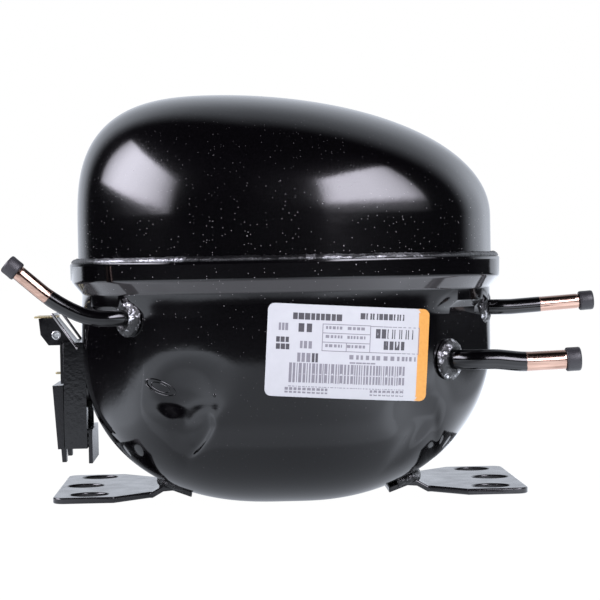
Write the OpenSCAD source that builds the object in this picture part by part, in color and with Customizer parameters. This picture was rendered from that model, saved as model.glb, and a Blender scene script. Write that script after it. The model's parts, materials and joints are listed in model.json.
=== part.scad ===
// Hermetic reciprocating compressor: two pressed shells, welded at a seam, hold a sprung unit of a
// vertical motor and a slide-block piston drive. The origin is at the centre of the mounting holes,
// in the plane of the feet's undersides. X runs along the body, +Y to the back, +Z up.

/* [Shells] */
// Half-length of the lower shell's wall
wall_l = 88.8; // [87:0.1:90]
// Half-width of the lower shell's wall
wall_w = 75; // [73:0.5:77]
// Sheet thickness of both shells
sheet = 2.8; // [2.4:0.1:3]
// Height of the seam above the feet
seam_z = 100; // [99:0.5:101]
// Height of the dome's top
dome_top = 172; // [171:0.5:175]
// Height of the lowest point of the belly
belly_z = -5; // [-6:0.5:-4]
// Facets around each shell
shell_steps = 60; // [48:4:72]

/* [Feet] */
// Hole spacing along the body
hole_dx = 170; // [168:0.5:172]
// Hole spacing across the body
hole_dy = 70; // [68:0.5:72]
// Distance between the middle holes of the two feet
mid_dx = 178; // [176:0.5:180]
// Radius of the grommet holes
hole_r = 8; // [7:0.1:8.2]
// Thickness of the feet
foot_t = 2.6; // [2:0.1:3]

/* [Tubes] */
// Outer radius of the suction tube
suction_r = 4; // [3.8:0.1:4.2]
// Outer radius of the discharge and process tubes
small_r = 3.175; // [3:0.025:3.3]
// Wall thickness of the tubes
tube_wall = 0.8; // [0.6:0.1:1]
// Length of the rubber caps
cap_len = 6; // [5:0.5:7]

/* [Motor and drive] */
// Radius of the crank, half of the piston's stroke
crank_r = 8; // [7.6:0.1:8]
// Radius of the piston
piston_r = 12; // [11.5:0.1:12]
// Radius of the crankshaft's journal
journal_r = 8; // [7.5:0.1:8]
// Height of the cylinder's axis
bore_z = 132; // [131.5:0.5:132.5]
// Half-size of the stator's laminations along X
stator_l = 48; // [46:0.5:49]
// Half-size of the stator's laminations along Y
stator_w = 45; // [44:0.5:46]
// Radius of the rotor
rotor_r = 30; // [29:0.1:30.1]

/* [Hidden] */
$fn = 48;

// ---- Plan of the shells -------------------------------------------------------------------------

// Corner exponent of the plan where the walls are straight
plan_n = 2.7;
// Direction and distance of the pressed flat on each front corner
flat_dir = 36.87;
flat_reach = 86.4;
// Softness of the edge where a pressed flat meets the wall
flat_soft = 1.6;

// Distance from the centre to a superellipse's edge in direction t
function reach(a, b, n, t) = pow(pow(abs(cos(t)) / a, n) + pow(abs(sin(t)) / b, n), -1 / n);

// Smooth smaller value of two distances
function soft_min(p, q, k) = min(p, q) - k * exp(-abs(p - q) / k) / 2;

// Shape of a quarter of a superellipse: 1 at h = 0, 0 at h = 1
function fade(h, n) = pow(max(0, 1 - pow(h, n)), 1 / n);

// Distance to the pressed flats in direction t, far away where they don't face
function flat_at(t, d) =
  let (s = max(cos(t + flat_dir), cos(t - 180 - flat_dir)))
  s > 0.3 ? d / s : 999;

// ---- Upper shell --------------------------------------------------------------------------------

dome_l = 89.6;
dome_w = 75.6;
dome_spring = 118;
dome_peak = -30;
dome_bottom = 92;

// One ring of the dome: inset is how far the surface lies inside the outer one
function dome_ring(h, inset) =
  let (
    height = dome_top - dome_spring - inset,
    left = dome_peak - (dome_peak + dome_l - inset) * fade(h, 2.8),
    right = dome_peak + (dome_l - dome_peak - inset) * fade(h, 2.05),
    half_w = (dome_w - inset) * fade(h, 2.5),
    middle = dome_peak * h * h
  )
  [for (i = [0:shell_steps - 1])
    let (
      t = i * 360 / shell_steps,
      a = cos(t) > 0 ? right - middle : middle - left,
      r = reach(a, half_w, plan_n - 0.6 * h, t)
    )
    [middle + r * cos(t), r * sin(t), dome_spring + height * h]];

// A straight ring of the dome's wall at height z
function dome_wall(z, inset) = [for (p = dome_ring(0, inset)) [p[0], p[1], z]];

dome_levels = [for (i = [0:8]) sin(i * 11.15)];

module upper_shell() {
  outer = [for (h = dome_levels) dome_ring(h, 0)];
  inner = [for (i = [8:-1:0]) dome_ring(dome_levels[i], sheet)];
  color([0.03, 0.03, 0.035])
    skin(concat(
      inner,
      [dome_wall(dome_bottom, sheet)],
      [dome_wall(dome_bottom, 0)],
      outer
    ));
}

// A closed skin over a list of rings; the first and last rings are capped with fans
module skin(rings) {
  n = len(rings[0]);
  m = len(rings);
  first = [for (k = [0:2]) sum_of([for (p = rings[0]) p[k]]) / n];
  last = [for (k = [0:2]) sum_of([for (p = rings[m - 1]) p[k]]) / n];
  points = concat([for (r = rings) each r], [first, last]);
  sides = [for (j = [0:m - 2], i = [0:n - 1])
    let (
      a = j * n + i,
      b = j * n + (i + 1) % n
    )
    each [[a, b, a + n], [b, b + n, a + n]]];
  start = [for (i = [0:n - 1]) [m * n, (i + 1) % n, i]];
  end = [for (i = [0:n - 1]) [m * n + 1, (m - 1) * n + i, (m - 1) * n + (i + 1) % n]];
  polyhedron(points, [for (f = concat(sides, start, end)) [f[0], f[2], f[1]]]);
}

function sum_of(v, i = 0) = i < len(v) ? v[i] + sum_of(v, i + 1) : 0;

function unit(v) = v / norm(v);

// A closed tube swept through a list of points, with flat ends
module sweep(path, r, sides) {
  n = len(path);
  rings = [for (i = [0:n - 1])
    let (
      along = unit(path[min(i + 1, n - 1)] - path[max(i - 1, 0)]),
      side = unit(cross(along, abs(along[2]) > 0.9 ? [1, 0, 0] : [0, 0, 1])),
      up = cross(side, along)
    )
    [for (k = [0:sides - 1])
      path[i] + r * (cos(k * 360 / sides) * side - sin(k * 360 / sides) * up)]];
  skin(rings);
}

// ---- Lower shell --------------------------------------------------------------------------------

bowl_spring = 64;
band_l = 93.2;
band_w = 79.2;
band_low = 90;
neck_z = 86;
ledge_z = 91.5;
// Pressed scoops: place along X, height, half-width, half-height and depth
scoops = [[-41, 32, 11.5, 10.5, 4.5], [46, 19, 9, 8, 3]];

// How deep the scoops press in at a point of the front or back wall
function scoop_at(x, z) = sum_of([for (s = scoops)
  s[4] * exp(-pow(abs(x - s[0]) / s[2], 2.6) - pow(abs(z - s[1]) / s[3], 2.6))]);

// One ring of the bowl: h runs from 0 at its spring line to 1 at the belly
function bowl_ring(h, inset) =
  let (
    z = bowl_spring + (belly_z + inset - bowl_spring) * h,
    left = (wall_l - inset) * fade(h, 2.3),
    right = (wall_l - inset) * fade(h, 2.1),
    half_w = (wall_w - inset) * fade(h, 2.7),
    n = plan_n + 1.2 * h * h
  )
  [for (i = [0:shell_steps - 1])
    let (
      t = i * 360 / shell_steps,
      oval = reach(cos(t) > 0 ? right : left, half_w, n, t),
      r = soft_min(oval, flat_at(t, flat_reach - inset), flat_soft),
      deep = abs(sin(t)) > 0.35 ? scoop_at(r * cos(t), z) : 0
    )
    [r * cos(t), r * sin(t) - sign(sin(t)) * deep, z]];

// A plain oval ring at height z
function oval_ring(l, w, z) = [for (i = [0:shell_steps - 1])
  let (
    t = i * 360 / shell_steps,
    r = reach(l, w, plan_n, t)
  )
  [r * cos(t), r * sin(t), z]];

bowl_levels = [for (i = [0:11]) sin(i * 7.7)];

module lower_shell() {
  outer = [for (i = [11:-1:0]) bowl_ring(bowl_levels[i], 0)];
  inner = [for (h = bowl_levels) bowl_ring(h, sheet)];
  neck = [for (p = bowl_ring(0, 0)) [p[0], p[1], 80]];
  neck_in = [for (p = bowl_ring(0, sheet)) [p[0], p[1], 80]];
  color([0.04, 0.04, 0.045])
    difference() {
      skin(concat(
        outer,
        [neck],
        [oval_ring(wall_l, wall_w, neck_z)],
        [oval_ring(band_l - 0.3, band_w - 0.3, band_low)],
        [oval_ring(band_l, band_w, seam_z)],
        [oval_ring(band_l - 3.1, band_w - 3.1, seam_z)],
        [oval_ring(band_l - 3.1, band_w - 3.1, ledge_z)],
        [oval_ring(wall_l - sheet, wall_w - sheet, ledge_z)],
        [neck_in],
        inner
      ));
      at_port(suction_port) port_hole(suction_r);
      at_port(discharge_port) port_hole(small_r);
      at_port(process_port) port_hole(small_r);
      translate([-wall_l - 6, 0, terminal_z])
        rotate([0, 90, 0])
          cylinder(h = 14, r = cup_r + 0.1);
    }
}

module shell_weld_bead() {
  n = shell_steps;
  section = [[0.1, 0.05], [2.9, 0.05], [3.1, 0.9], [2.2, 1.9], [1, 2.3], [0.1, 1.9]];
  m = len(section);
  points = [for (i = [0:n - 1], s = section)
    let (
      t = i * 360 / n,
      r = reach(dome_l + s[0], dome_w + s[0], plan_n, t)
    )
    [r * cos(t), r * sin(t), seam_z + s[1]]];
  faces = [for (i = [0:n - 1], k = [0:m - 1])
    let (
      a = i * m + k,
      b = i * m + (k + 1) % m,
      c = ((i + 1) % n) * m + k,
      d = ((i + 1) % n) * m + (k + 1) % m
    )
    each [[a, b, c], [b, d, c]]];
  color([0.45, 0.45, 0.46])
    polyhedron(points, faces);
}

// ---- Feet ---------------------------------------------------------------------------------------

foot_end = 99.8;
foot_half_w = 46.5;
foot_shoulder = 74;
foot_knee = 60;
arm_half_w = 31;

// Underside of the arm, as points of X and Z: it humps up and then follows the belly down
arm_line = [[foot_knee, 0], [58.6, 0], [54, 2.6], [50, 2.9], [42, -0.1]];

// The right foot: a flat wing with three holes, and an arm that humps up to the belly
module foot() {
  corner = 5;
  difference() {
    union() {
      linear_extrude(foot_t)
        union() {
          polygon([
            [foot_shoulder, -foot_half_w], [foot_end - corner, -foot_half_w],
            [foot_end, corner - foot_half_w], [foot_end, foot_half_w - corner],
            [foot_end - corner, foot_half_w], [foot_shoulder, foot_half_w],
            [foot_knee - 0.2, arm_half_w], [foot_knee - 0.2, -arm_half_w]
          ]);
          for (s = [-1, 1])
            translate([foot_end - corner, s * (foot_half_w - corner)])
              circle(corner);
        }
      rotate([90, 0, 0])
        linear_extrude(2 * arm_half_w, center = true)
          polygon(concat(
            arm_line,
            [for (i = [len(arm_line) - 1:-1:0]) arm_line[i] + [0, foot_t]]
          ));
    }
    for (s = [-1, 1])
      translate([hole_dx / 2, s * hole_dy / 2, -1])
        cylinder(h = foot_t + 2, r = hole_r);
    translate([mid_dx / 2, 0, -1])
      cylinder(h = foot_t + 2, r = hole_r);
  }
}

module right_foot() {
  color([0.05, 0.05, 0.055])
    foot();
}

module left_foot() {
  color([0.05, 0.05, 0.055])
    rotate([0, 0, 180])
      foot();
}

// ---- Tubes --------------------------------------------------------------------------------------

// A port: centre on the shell's wall, and the direction the tube leaves in
suction_port = [[66.4, -57.2, 57.6], -36.87];
discharge_port = [[84.2, -27, 78.2], -16];
process_port = [[-66.4, -57.2, 77.4], 216.87];

// A tube's steps: straight length, bend radius, bend angle and the bend's turn about the tube
suction_steps = [[5, 16, 36.87, 90], [3, 30, 7, -90], [6, 40, 9, 180], [19.5, 0, 0, 0]];
discharge_steps = [[3, 20, 16, 90], [2, 30, 3.7, 90], [33.5, 0, 0, 0]];
process_steps = [[2, 12, 36.87, -90], [0.5, 26, 24, -90], [0.5, 60, 17, 0], [16.5, 0, 0, 0]];
tube_root = 6;

module at_port(port) {
  translate(port[0])
    rotate([0, 90, port[1]])
      children();
}

// The frames [place, heading, side] at the end of each step of a tube's run
function tube_frames(steps, f, i = 0) =
  i == len(steps) ? [f] :
  let (
    s = steps[i],
    start = f[0] + s[0] * f[1],
    side = cos(s[3]) * f[2] + sin(s[3]) * cross(f[1], f[2]),
    place = start + s[1] * ((1 - cos(s[2])) * side + sin(s[2]) * f[1]),
    next = [place, cos(s[2]) * f[1] + sin(s[2]) * side, cos(s[2]) * side - sin(s[2]) * f[1]]
  )
  concat([f], tube_frames(steps, next, i + 1));

function port_frame(port) = [port[0], [cos(port[1]), sin(port[1]), 0], [0, 0, -1]];

// Points along a tube's bends, every few degrees
function bend_points(steps, f) = [for (i = [0:len(steps) - 2])
  let (
    s = steps[i],
    g = tube_frames(steps, f)[i],
    start = g[0] + s[0] * g[1],
    side = cos(s[3]) * g[2] + sin(s[3]) * cross(g[1], g[2]),
    parts = ceil(s[2] / 8)
  )
  each [for (k = [0:parts])
    let (t = s[2] * k / parts)
    start + s[1] * ((1 - cos(t)) * side + sin(t) * g[1])]];

// Puts its children at the tip of a tube, with +Z pointing out of it
module at_tube_end(port, steps) {
  frames = tube_frames(steps, port_frame(port));
  f = frames[len(frames) - 1];
  y = cross(f[1], f[2]);
  multmatrix([
    [f[2][0], y[0], f[1][0], f[0][0]],
    [f[2][1], y[1], f[1][1], f[0][1]],
    [f[2][2], y[2], f[1][2], f[0][2]]
  ])
    children();
}

paint = 0.1;
// The sized end of a tube, a little slimmer, that its cap covers
sized_len = cap_len - 0.7;
sized_cut = 0.3;

// A bent, painted stretch from inside the shell, and a straight bare end
module connector_tube(port, steps, r) {
  f = port_frame(port);
  tip_len = steps[len(steps) - 1][0];
  frames = tube_frames(steps, f);
  tip = frames[len(frames) - 1];
  bare_from = tip[0] - (tip_len - 1) * tip[1];
  path = concat([f[0] - tube_root * f[1]], bend_points(steps, f), [bare_from]);
  bore_path = concat([f[0] - (tube_root + 1) * f[1]], bend_points(steps, f), [bare_from]);
  difference() {
    union() {
      sweep(path, r + paint, 20);
      at_tube_end(port, steps)
        union() {
          translate([0, 0, -tip_len])
            cylinder(h = tip_len - sized_len, r = r);
          translate([0, 0, -tip_len])
            cylinder(h = tip_len, r = r - sized_cut);
        }
    }
    sweep(bore_path, r - tube_wall + paint, 12);
    at_tube_end(port, steps)
      translate([0, 0, -tip_len])
        cylinder(h = tip_len + 1, r = r - tube_wall);
  }
}

module port_hole(r) {
  translate([0, 0, -14])
    cylinder(h = 24, r = r + 0.2);
}

module collar(port, r, ring_r) {
  at_port(port)
    difference() {
      union() {
        translate([0, 0, -1.2])
          cylinder(h = 2.6, r = ring_r);
        translate([0, 0, 1.4])
          cylinder(h = 1.6, r1 = ring_r - 0.8, r2 = r + 1.4);
      }
      translate([0, 0, -2])
        cylinder(h = 8, r = r + paint + 0.03);
      translate([0, 0, 1.9])
        rotate_extrude()
          translate([r + 2.4, 0])
            circle(0.7);
    }
}

module tube_cap(port, steps, r) {
  at_tube_end(port, steps)
    translate([0, 0, 1 - cap_len])
      difference() {
        cylinder(h = cap_len, r = r + 0.95);
        translate([0, 0, -1])
          cylinder(h = cap_len, r = r - sized_cut + 0.03);
      }
}

module suction_tube() {
  color([0.06, 0.06, 0.065])
    connector_tube(suction_port, suction_steps, suction_r);
}

module discharge_tube() {
  color([0.06, 0.06, 0.065])
    connector_tube(discharge_port, discharge_steps, small_r);
}

module process_tube() {
  color([0.06, 0.06, 0.065])
    connector_tube(process_port, process_steps, small_r);
}

module suction_collar() {
  color([0.3, 0.3, 0.31])
    collar(suction_port, suction_r, 8.6);
}

module discharge_collar() {
  color([0.3, 0.3, 0.31])
    collar(discharge_port, small_r, 8);
}

module process_collar() {
  color([0.3, 0.3, 0.31])
    collar(process_port, small_r, 8);
}

module suction_cap() {
  color([0.07, 0.07, 0.07])
    tube_cap(suction_port, suction_steps, suction_r);
}

module discharge_cap() {
  color([0.07, 0.07, 0.07])
    tube_cap(discharge_port, discharge_steps, small_r);
}

module process_cap() {
  color([0.07, 0.07, 0.07])
    tube_cap(process_port, process_steps, small_r);
}

// ---- Terminal and electrics ---------------------------------------------------------------------

terminal_z = 50;
cup_r = 13;
cup_face = -91;
pin_circle = 6.5;
pin_r = 1.15;
seal_r = 3;
pin_angles = [90, 210, 330];

// Draws its children with +Z pointing left, out of the terminal's face
module at_terminal() {
  translate([cup_face, 0, terminal_z])
    rotate([0, -90, 0])
      children();
}

// Draws its children at each of the three pins
module at_pins() {
  at_terminal()
    for (a = pin_angles)
      rotate([0, 0, a])
        translate([pin_circle, 0, 0])
          children();
}

module terminal_cup() {
  color([0.5, 0.5, 0.5])
    difference() {
      at_terminal()
        difference() {
          translate([0, 0, -8])
            cylinder(h = 8, r = cup_r);
          translate([0, 0, -5.5])
            cylinder(h = 6, r = cup_r - 1.6);
        }
      at_pins()
        translate([0, 0, -10])
          cylinder(h = 6, r = seal_r);
    }
}

module terminal_glass_seals() {
  color([0.15, 0.35, 0.3])
    difference() {
      at_pins()
        translate([0, 0, -8.5])
          cylinder(h = 4, r = seal_r - 0.02);
      at_pins()
        translate([0, 0, -12])
          cylinder(h = 12, r = pin_r);
    }
}

module terminal_pins() {
  color([0.7, 0.68, 0.6])
    at_pins()
      translate([0, 0, -16])
        cylinder(h = 20, r = pin_r - 0.02);
}

fence_half_w = 22;
fence_low = 20.8;
fence_high = 66.4;
fence_in = -86.4;
fence_out = -96;
fence_strip = 1.5;

// A bracket strip bent round the terminal, welded to the shell, with an opening for the relay's neck
module terminal_fence() {
  strip = fence_strip;
  color([0.1, 0.1, 0.1])
    difference() {
      translate([fence_out, -fence_half_w, fence_low])
        cube([fence_in - fence_out, 2 * fence_half_w, fence_high - fence_low]);
      translate([fence_out - 1, strip - fence_half_w, fence_low + strip])
        cube([fence_in - fence_out + 2, 2 * (fence_half_w - strip), fence_high - fence_low - 2 * strip]);
      translate([-91, 0, 38])
        rotate([-90, 0, 0])
          cylinder(h = 40, r = 1.6);
      translate([clip_pivot[0], 0, clip_pivot[1]])
        rotate([90, 0, 0])
          cylinder(h = 60, r = clip_r + 0.05, center = true);
      translate([fence_out - 1, -relay_half_w - 0.6, fence_high - strip - 1])
        cube([5.6, 2 * relay_half_w + 1.2, strip + 2]);
    }
}

relay_half_w = 16;

// Side outline of the relay's sloping head, as points of X and Z
module relay_head() {
  polygon([
    [-107, 76.6], [-100.2, 76.6], [-91.9, 66], [-91.9, 65], [-102.9, 65], [-106.3, 69.6]
  ]);
}

module start_relay() {
  color([0.07, 0.07, 0.075])
    difference() {
      union() {
        rotate([90, 0, 0])
          linear_extrude(2 * relay_half_w - 6, center = true)
            relay_head();
        translate([-97.8, -relay_half_w, 48.4])
          cube([4.4, 2 * relay_half_w, 17.2]);
        for (y = [-relay_half_w, relay_half_w - 5])
          translate([-97.2, y, 49.2])
            cube([5.6, 5, 13]);
      }
      translate([-99.4, 0, 69.4])
        rotate([90, 0, 0])
          cylinder(h = 60, r = 1.3, center = true);
      at_pins()
        translate([0, 0, -1])
          cylinder(h = 9, r = pin_r + 0.2);
    }
}

module overload_protector() {
  half_w = 18;
  color([0.07, 0.07, 0.08])
    difference() {
      union() {
        translate([-101.2, -half_w, 20.4])
          cube([4.6, 2 * half_w, 27.4]);
        translate([-97, 1 - half_w, 24.3])
          cube([8.6, 2 * half_w - 2, 22.1]);
        for (y = [-half_w, half_w - 6])
          translate([-99.8, y, 14.8])
            cube([4, 6, 6]);
        for (y = [2 - half_w, half_w - 3.2])
          translate([-90.2, y, 29])
            cube([1.6, 1.2, 17]);
      }
      at_pins()
        translate([0, 0, -1])
          cylinder(h = 16, r = pin_r + 0.4);
      at_terminal()
        translate([0, 0, -9])
          cylinder(h = 9.3, r = cup_r + 0.3);
    }
}

// Flat metal tabs for the supply wires
module relay_tabs() {
  color([0.6, 0.55, 0.4])
    union() {
      translate([-109.2, -10, 76.7])
        cube([9.4, 6.3, 0.8]);
      translate([-109.2, 4, 76.7])
        cube([9.4, 6.3, 0.8]);
      translate([-101, -3, 52])
        cube([3.1, 6.3, 0.8]);
    }
}

clip_r = 0.6;
clip_pivot = [-89.9, 64];
clip_half_w = 22.9;

// A wire bail: two sloping arms, the bar that joins them over the relay's head, and two pivot ends
// that turn in the bracket's sides
module bail_clip() {
  top = [-100, 78.4];
  run = top - clip_pivot;
  tilt = atan2(run[0], run[1]);
  color([0.55, 0.55, 0.55])
    union() {
      for (s = [-1, 1])
        translate([clip_pivot[0], s * clip_half_w, clip_pivot[1]])
          rotate([0, tilt, 0])
            cylinder(h = norm(run), r = clip_r);
      for (s = [-1, 1], end = [clip_pivot, top])
        translate([end[0], s * clip_half_w, end[1]])
          sphere(clip_r + 0.15);
      for (s = [-1, 1])
        translate([clip_pivot[0], s * clip_half_w, clip_pivot[1]])
          rotate([s * 90, 0, 0])
            cylinder(h = 3.2, r = clip_r);
      translate([top[0], 0, top[1]])
        rotate([90, 0, 0])
          cylinder(h = 2 * clip_half_w, r = clip_r, center = true);
    }
}

// A plate that hangs behind the bracket, folded over its lowest strip
module insulating_plate() {
  half_w = 19.8;
  fold_z = fence_low + fence_strip;
  color([0.08, 0.08, 0.09])
    union() {
      translate([-86.1, -half_w, 14.2])
        cube([1.7, 2 * half_w, 14.6]);
      translate([-94, -half_w, fold_z])
        cube([9.6, 2 * half_w, 1.6]);
    }
}

module earth_screw() {
  color([0.7, 0.62, 0.3])
    translate([-91, fence_half_w, 38])
      rotate([-90, 0, 0])
        union() {
          cylinder(h = 0.8, r = 4);
          cylinder(h = 3.6, r = 3.4, $fn = 6);
          translate([0, 0, -5])
            cylinder(h = 6, r = 1.55);
        }
}

module connector_block() {
  color([0.85, 0.83, 0.75])
    difference() {
      translate([-82, -11, terminal_z - 9])
        cube([6.5, 22, 19]);
      at_pins()
        translate([0, 0, -20])
          cylinder(h = 20, r = pin_r + 0.1);
    }
}

// ---- Rating label -------------------------------------------------------------------------------

label_x = 23.2;
label_z = 62;
label_half_w = 33.1;
label_half_h = 18.8;
label_tilt = -3.7;
label_t = 0.25;

// Depth of the front wall at a place, without its pressed flats
function front_y(x, z) =
  let (
    h = z < bowl_spring ? (bowl_spring - z) / (bowl_spring - belly_z) : 0,
    a = wall_l * fade(h, 2.1),
    b = wall_w * fade(h, 2.7),
    n = plan_n + 1.2 * h * h
  )
  -b * pow(1 - pow(abs(x) / a, n), 1 / n);

// A thin sheet that follows the front wall
module rating_label() {
  cols = 14;
  rows = 5;
  grid = [for (d = [0.06, 0.06 + label_t], j = [0:rows], i = [0:cols])
    let (
      u = (2 * i / cols - 1) * label_half_w,
      v = (2 * j / rows - 1) * label_half_h,
      x = label_x + u * cos(label_tilt) - v * sin(label_tilt),
      z = label_z + u * sin(label_tilt) + v * cos(label_tilt)
    )
    [x, front_y(x, z) - d, z]];
  w = cols + 1;
  back = w * (rows + 1);
  sheets = [for (j = [0:rows - 1], i = [0:cols - 1])
    let (
      a = j * w + i,
      f = a + back
    )
    each [[a, a + w, a + w + 1], [a, a + w + 1, a + 1],
      [f, f + 1, f + w + 1], [f, f + w + 1, f + w]]];
  ends = [for (j = [0:rows - 1])
    let (
      l = j * w,
      r = j * w + cols
    )
    each [[l, l + back, l + w], [l + back, l + back + w, l + w],
      [r, r + w, r + back], [r + back, r + w, r + back + w]]];
  edges = [for (i = [0:cols - 1])
    let (t = rows * w + i)
    each [[i, i + 1, i + back], [i + 1, i + 1 + back, i + back],
      [t, t + back, t + 1], [t + 1, t + back, t + 1 + back]]];
  color([0.93, 0.93, 0.92])
    polyhedron(grid, [for (f = concat(sheets, ends, edges)) [f[0], f[2], f[1]]]);
}

// ---- Suspension ---------------------------------------------------------------------------------

spring_x = 42;
spring_y = 36;
seat_top = 14;
stack_low = 30;
stack_high = 75;

// Draws its children at each of the four springs
module at_springs() {
  for (x = [-spring_x, spring_x], y = [-spring_y, spring_y])
    translate([x, y, 0])
      children();
}

module spring_seats() {
  color([0.4, 0.4, 0.4])
    difference() {
      at_springs()
        union() {
          translate([0, 0, 9.5])
            cylinder(h = seat_top - 9.5, r = 9.5);
          cylinder(h = 20.5, r = 3.5);
        }
      at_springs()
        translate([0, 0, -30])
          cylinder(h = 39.5, r = 12);
    }
}

module lower_snubbers() {
  color([0.85, 0.82, 0.72])
    at_springs()
      difference() {
        translate([0, 0, seat_top])
          cylinder(h = 6.5, r = 5.6);
        cylinder(h = 40, r = 3.5);
      }
}

module upper_snubbers() {
  color([0.85, 0.82, 0.72])
    at_springs()
      difference() {
        translate([0, 0, stack_low - 6])
          cylinder(h = 6, r = 5.6);
        cylinder(h = 40, r = 3.2);
      }
}

spring_mean_r = 7;
spring_wire = 0.8;
spring_turns = 4.5;
spring_low = seat_top + 0.9;
spring_high = stack_low - 0.9;

module suspension_springs() {
  per_turn = 12;
  steps = spring_turns * per_turn;
  path = [for (i = [0:steps])
    let (t = i * 360 / per_turn)
    [spring_mean_r * cos(t), spring_mean_r * sin(t),
      spring_low + (spring_high - spring_low) * i / steps]];
  color([0.6, 0.6, 0.62])
    at_springs()
      sweep(path, spring_wire, 6);
}

// ---- Motor --------------------------------------------------------------------------------------

slots = 24;
slot_in = 32.5;
slot_out = 40;
slot_half_w = 2.2;
air_gap = 0.4;

// Rounded slots between two radii, narrowed by a clearance
module slot_shapes(gap, phases) {
  for (i = phases)
    rotate([0, 0, i * 360 / slots])
      union() {
        translate([slot_in + gap, gap - slot_half_w])
          square([slot_out - slot_in - 2 * gap, 2 * (slot_half_w - gap)]);
        translate([slot_out - gap, 0])
          circle(slot_half_w - gap);
      }
}

all_slots = [0:slots - 1];
// Every third slot holds the start winding
start_slots = [0:3:slots - 1];
main_slots = [for (i = all_slots) if (i % 3 != 0) i];

module stator_outline() {
  cut = 7;
  polygon([
    [cut - stator_l, -stator_w], [stator_l - cut, -stator_w], [stator_l, cut - stator_w],
    [stator_l, stator_w - cut], [stator_l - cut, stator_w], [cut - stator_l, stator_w],
    [-stator_l, stator_w - cut], [-stator_l, cut - stator_w]
  ]);
}

module stator_core() {
  color([0.35, 0.36, 0.38])
    translate([0, 0, stack_low])
      linear_extrude(stack_high - stack_low)
        difference() {
          stator_outline();
          circle(rotor_r + air_gap);
          slot_shapes(0, all_slots);
          for (x = [-spring_x, spring_x], y = [-spring_y, spring_y])
            translate([x, y])
              circle(3.2);
        }
}

module slot_liners() {
  color([0.8, 0.75, 0.6])
    translate([0, 0, stack_low - 1.5])
      linear_extrude(stack_high - stack_low + 3)
        difference() {
          slot_shapes(0.05, all_slots);
          slot_shapes(0.4, all_slots);
        }
}

// A coil: bars in its slots and a rounded end turn above and below the stack
module coil(phases, r_in, r_out, reach_out) {
  end = reach_out - 2;
  union() {
    translate([0, 0, stack_low - 1.7])
      linear_extrude(stack_high - stack_low + 3.4)
        slot_shapes(0.45, phases);
    translate([0, 0, stack_low - 3])
      linear_extrude(stack_high - stack_low + 6)
        intersection() {
          slot_shapes(0.45, phases);
          difference() {
            circle(r_out - 0.5);
            circle(r_in + 0.5);
          }
        }
    for (z = [stack_low - reach_out, stack_high + 2])
      translate([0, 0, z])
        rotate_extrude()
          union() {
            translate([r_in, 2])
              square([r_out - r_in, end - 4]);
            translate([r_in + 2, 0])
              square([r_out - r_in - 4, end]);
            for (x = [r_in + 2, r_out - 2], y = [2, end - 2])
              translate([x, y])
                circle(2);
          }
  }
}

module main_winding() {
  color([0.6, 0.27, 0.1])
    coil(main_slots, 37, 43.5, 14);
}

module start_winding() {
  color([0.68, 0.33, 0.14])
    coil(start_slots, 31.5, 36.8, 12);
}

// Long bolts from the spring sockets through the stack into the cylinder block
module stator_bolts() {
  color([0.55, 0.55, 0.57])
    at_springs()
      union() {
        translate([0, 0, stack_low - 4.5])
          cylinder(h = 64, r = 2.5);
        translate([0, 0, stack_low - 4.5])
          cylinder(h = 4.5, r = 3.1);
      }
}

bar_circle = 26.5;
bar_r = 1.6;
bars = 20;

module rotor_core() {
  color([0.38, 0.39, 0.41])
    translate([0, 0, stack_low])
      linear_extrude(stack_high - stack_low)
        difference() {
          circle(rotor_r);
          circle(journal_r + 0.01);
          for (i = [0:bars - 1])
            rotate([0, 0, i * 360 / bars])
              translate([bar_circle, 0])
                circle(bar_r + 0.02);
        }
}

module rotor_cage() {
  ring = 3.5;
  color([0.78, 0.79, 0.8])
    union() {
      for (z = [stack_low - ring, stack_high])
        translate([0, 0, z])
          difference() {
            cylinder(h = ring, r = rotor_r - 1);
            translate([0, 0, -1])
              cylinder(h = ring + 2, r = 20);
          }
      for (i = [0:bars - 1])
        rotate([0, 0, i * 360 / bars])
          translate([bar_circle, 0, stack_low - 1])
            cylinder(h = stack_high - stack_low + 2, r = bar_r);
    }
}

// ---- Crank and slide-block drive ----------------------------------------------------------------

shaft_low = 24;
web_low = 112.5;
web_high = 119.3;
pin_high = 140;
crank_pin_r = 5;
pickup_r = 2.2;
plug_y = crank_r / 2;
plug_r = 1.2;

module crankshaft() {
  color([0.5, 0.5, 0.52])
    difference() {
      union() {
        translate([0, 0, shaft_low])
          cylinder(h = web_low - shaft_low, r = journal_r);
        translate([0, 0, web_low])
          cylinder(h = web_high - web_low, r = 13.4);
        translate([0, crank_r, web_high])
          cylinder(h = pin_high - web_high, r = crank_pin_r);
      }
      translate([0, 0, shaft_low - 1])
        cylinder(h = 31, r = pickup_r + 0.01);
      translate([0, plug_y, shaft_low - 1])
        cylinder(h = 25, r = plug_r + 0.05);
      translate([0, crank_r + 1, web_high])
        cylinder(h = 40, r = 1.2);
    }
}

module counterweight() {
  color([0.45, 0.45, 0.47])
    difference() {
      translate([0, 0, web_low + 0.1])
        cylinder(h = web_high - web_low - 0.2, r = 19);
      translate([0, 0, web_low - 1])
        cylinder(h = 10, r = 13.42);
      translate([-30, -3, web_low - 1])
        cube([60, 40, 10]);
    }
}

module oil_pickup() {
  color([0.6, 0.6, 0.6])
    difference() {
      union() {
        translate([0, 0, 2.5])
          cylinder(h = shaft_low - 2.5 + 12, r = pickup_r);
        translate([0, 0, 2.5])
          cylinder(h = 5, r1 = 1.6, r2 = 3.4);
        translate([0, 0, 7.5])
          cylinder(h = 4, r = 3.4);
      }
      translate([0, 0, 1])
        cylinder(h = 50, r = 1.1);
    }
}

module oil_gallery_plug() {
  color([0.7, 0.6, 0.3])
    translate([0, plug_y, shaft_low])
      cylinder(h = 3, r = plug_r);
}

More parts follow.
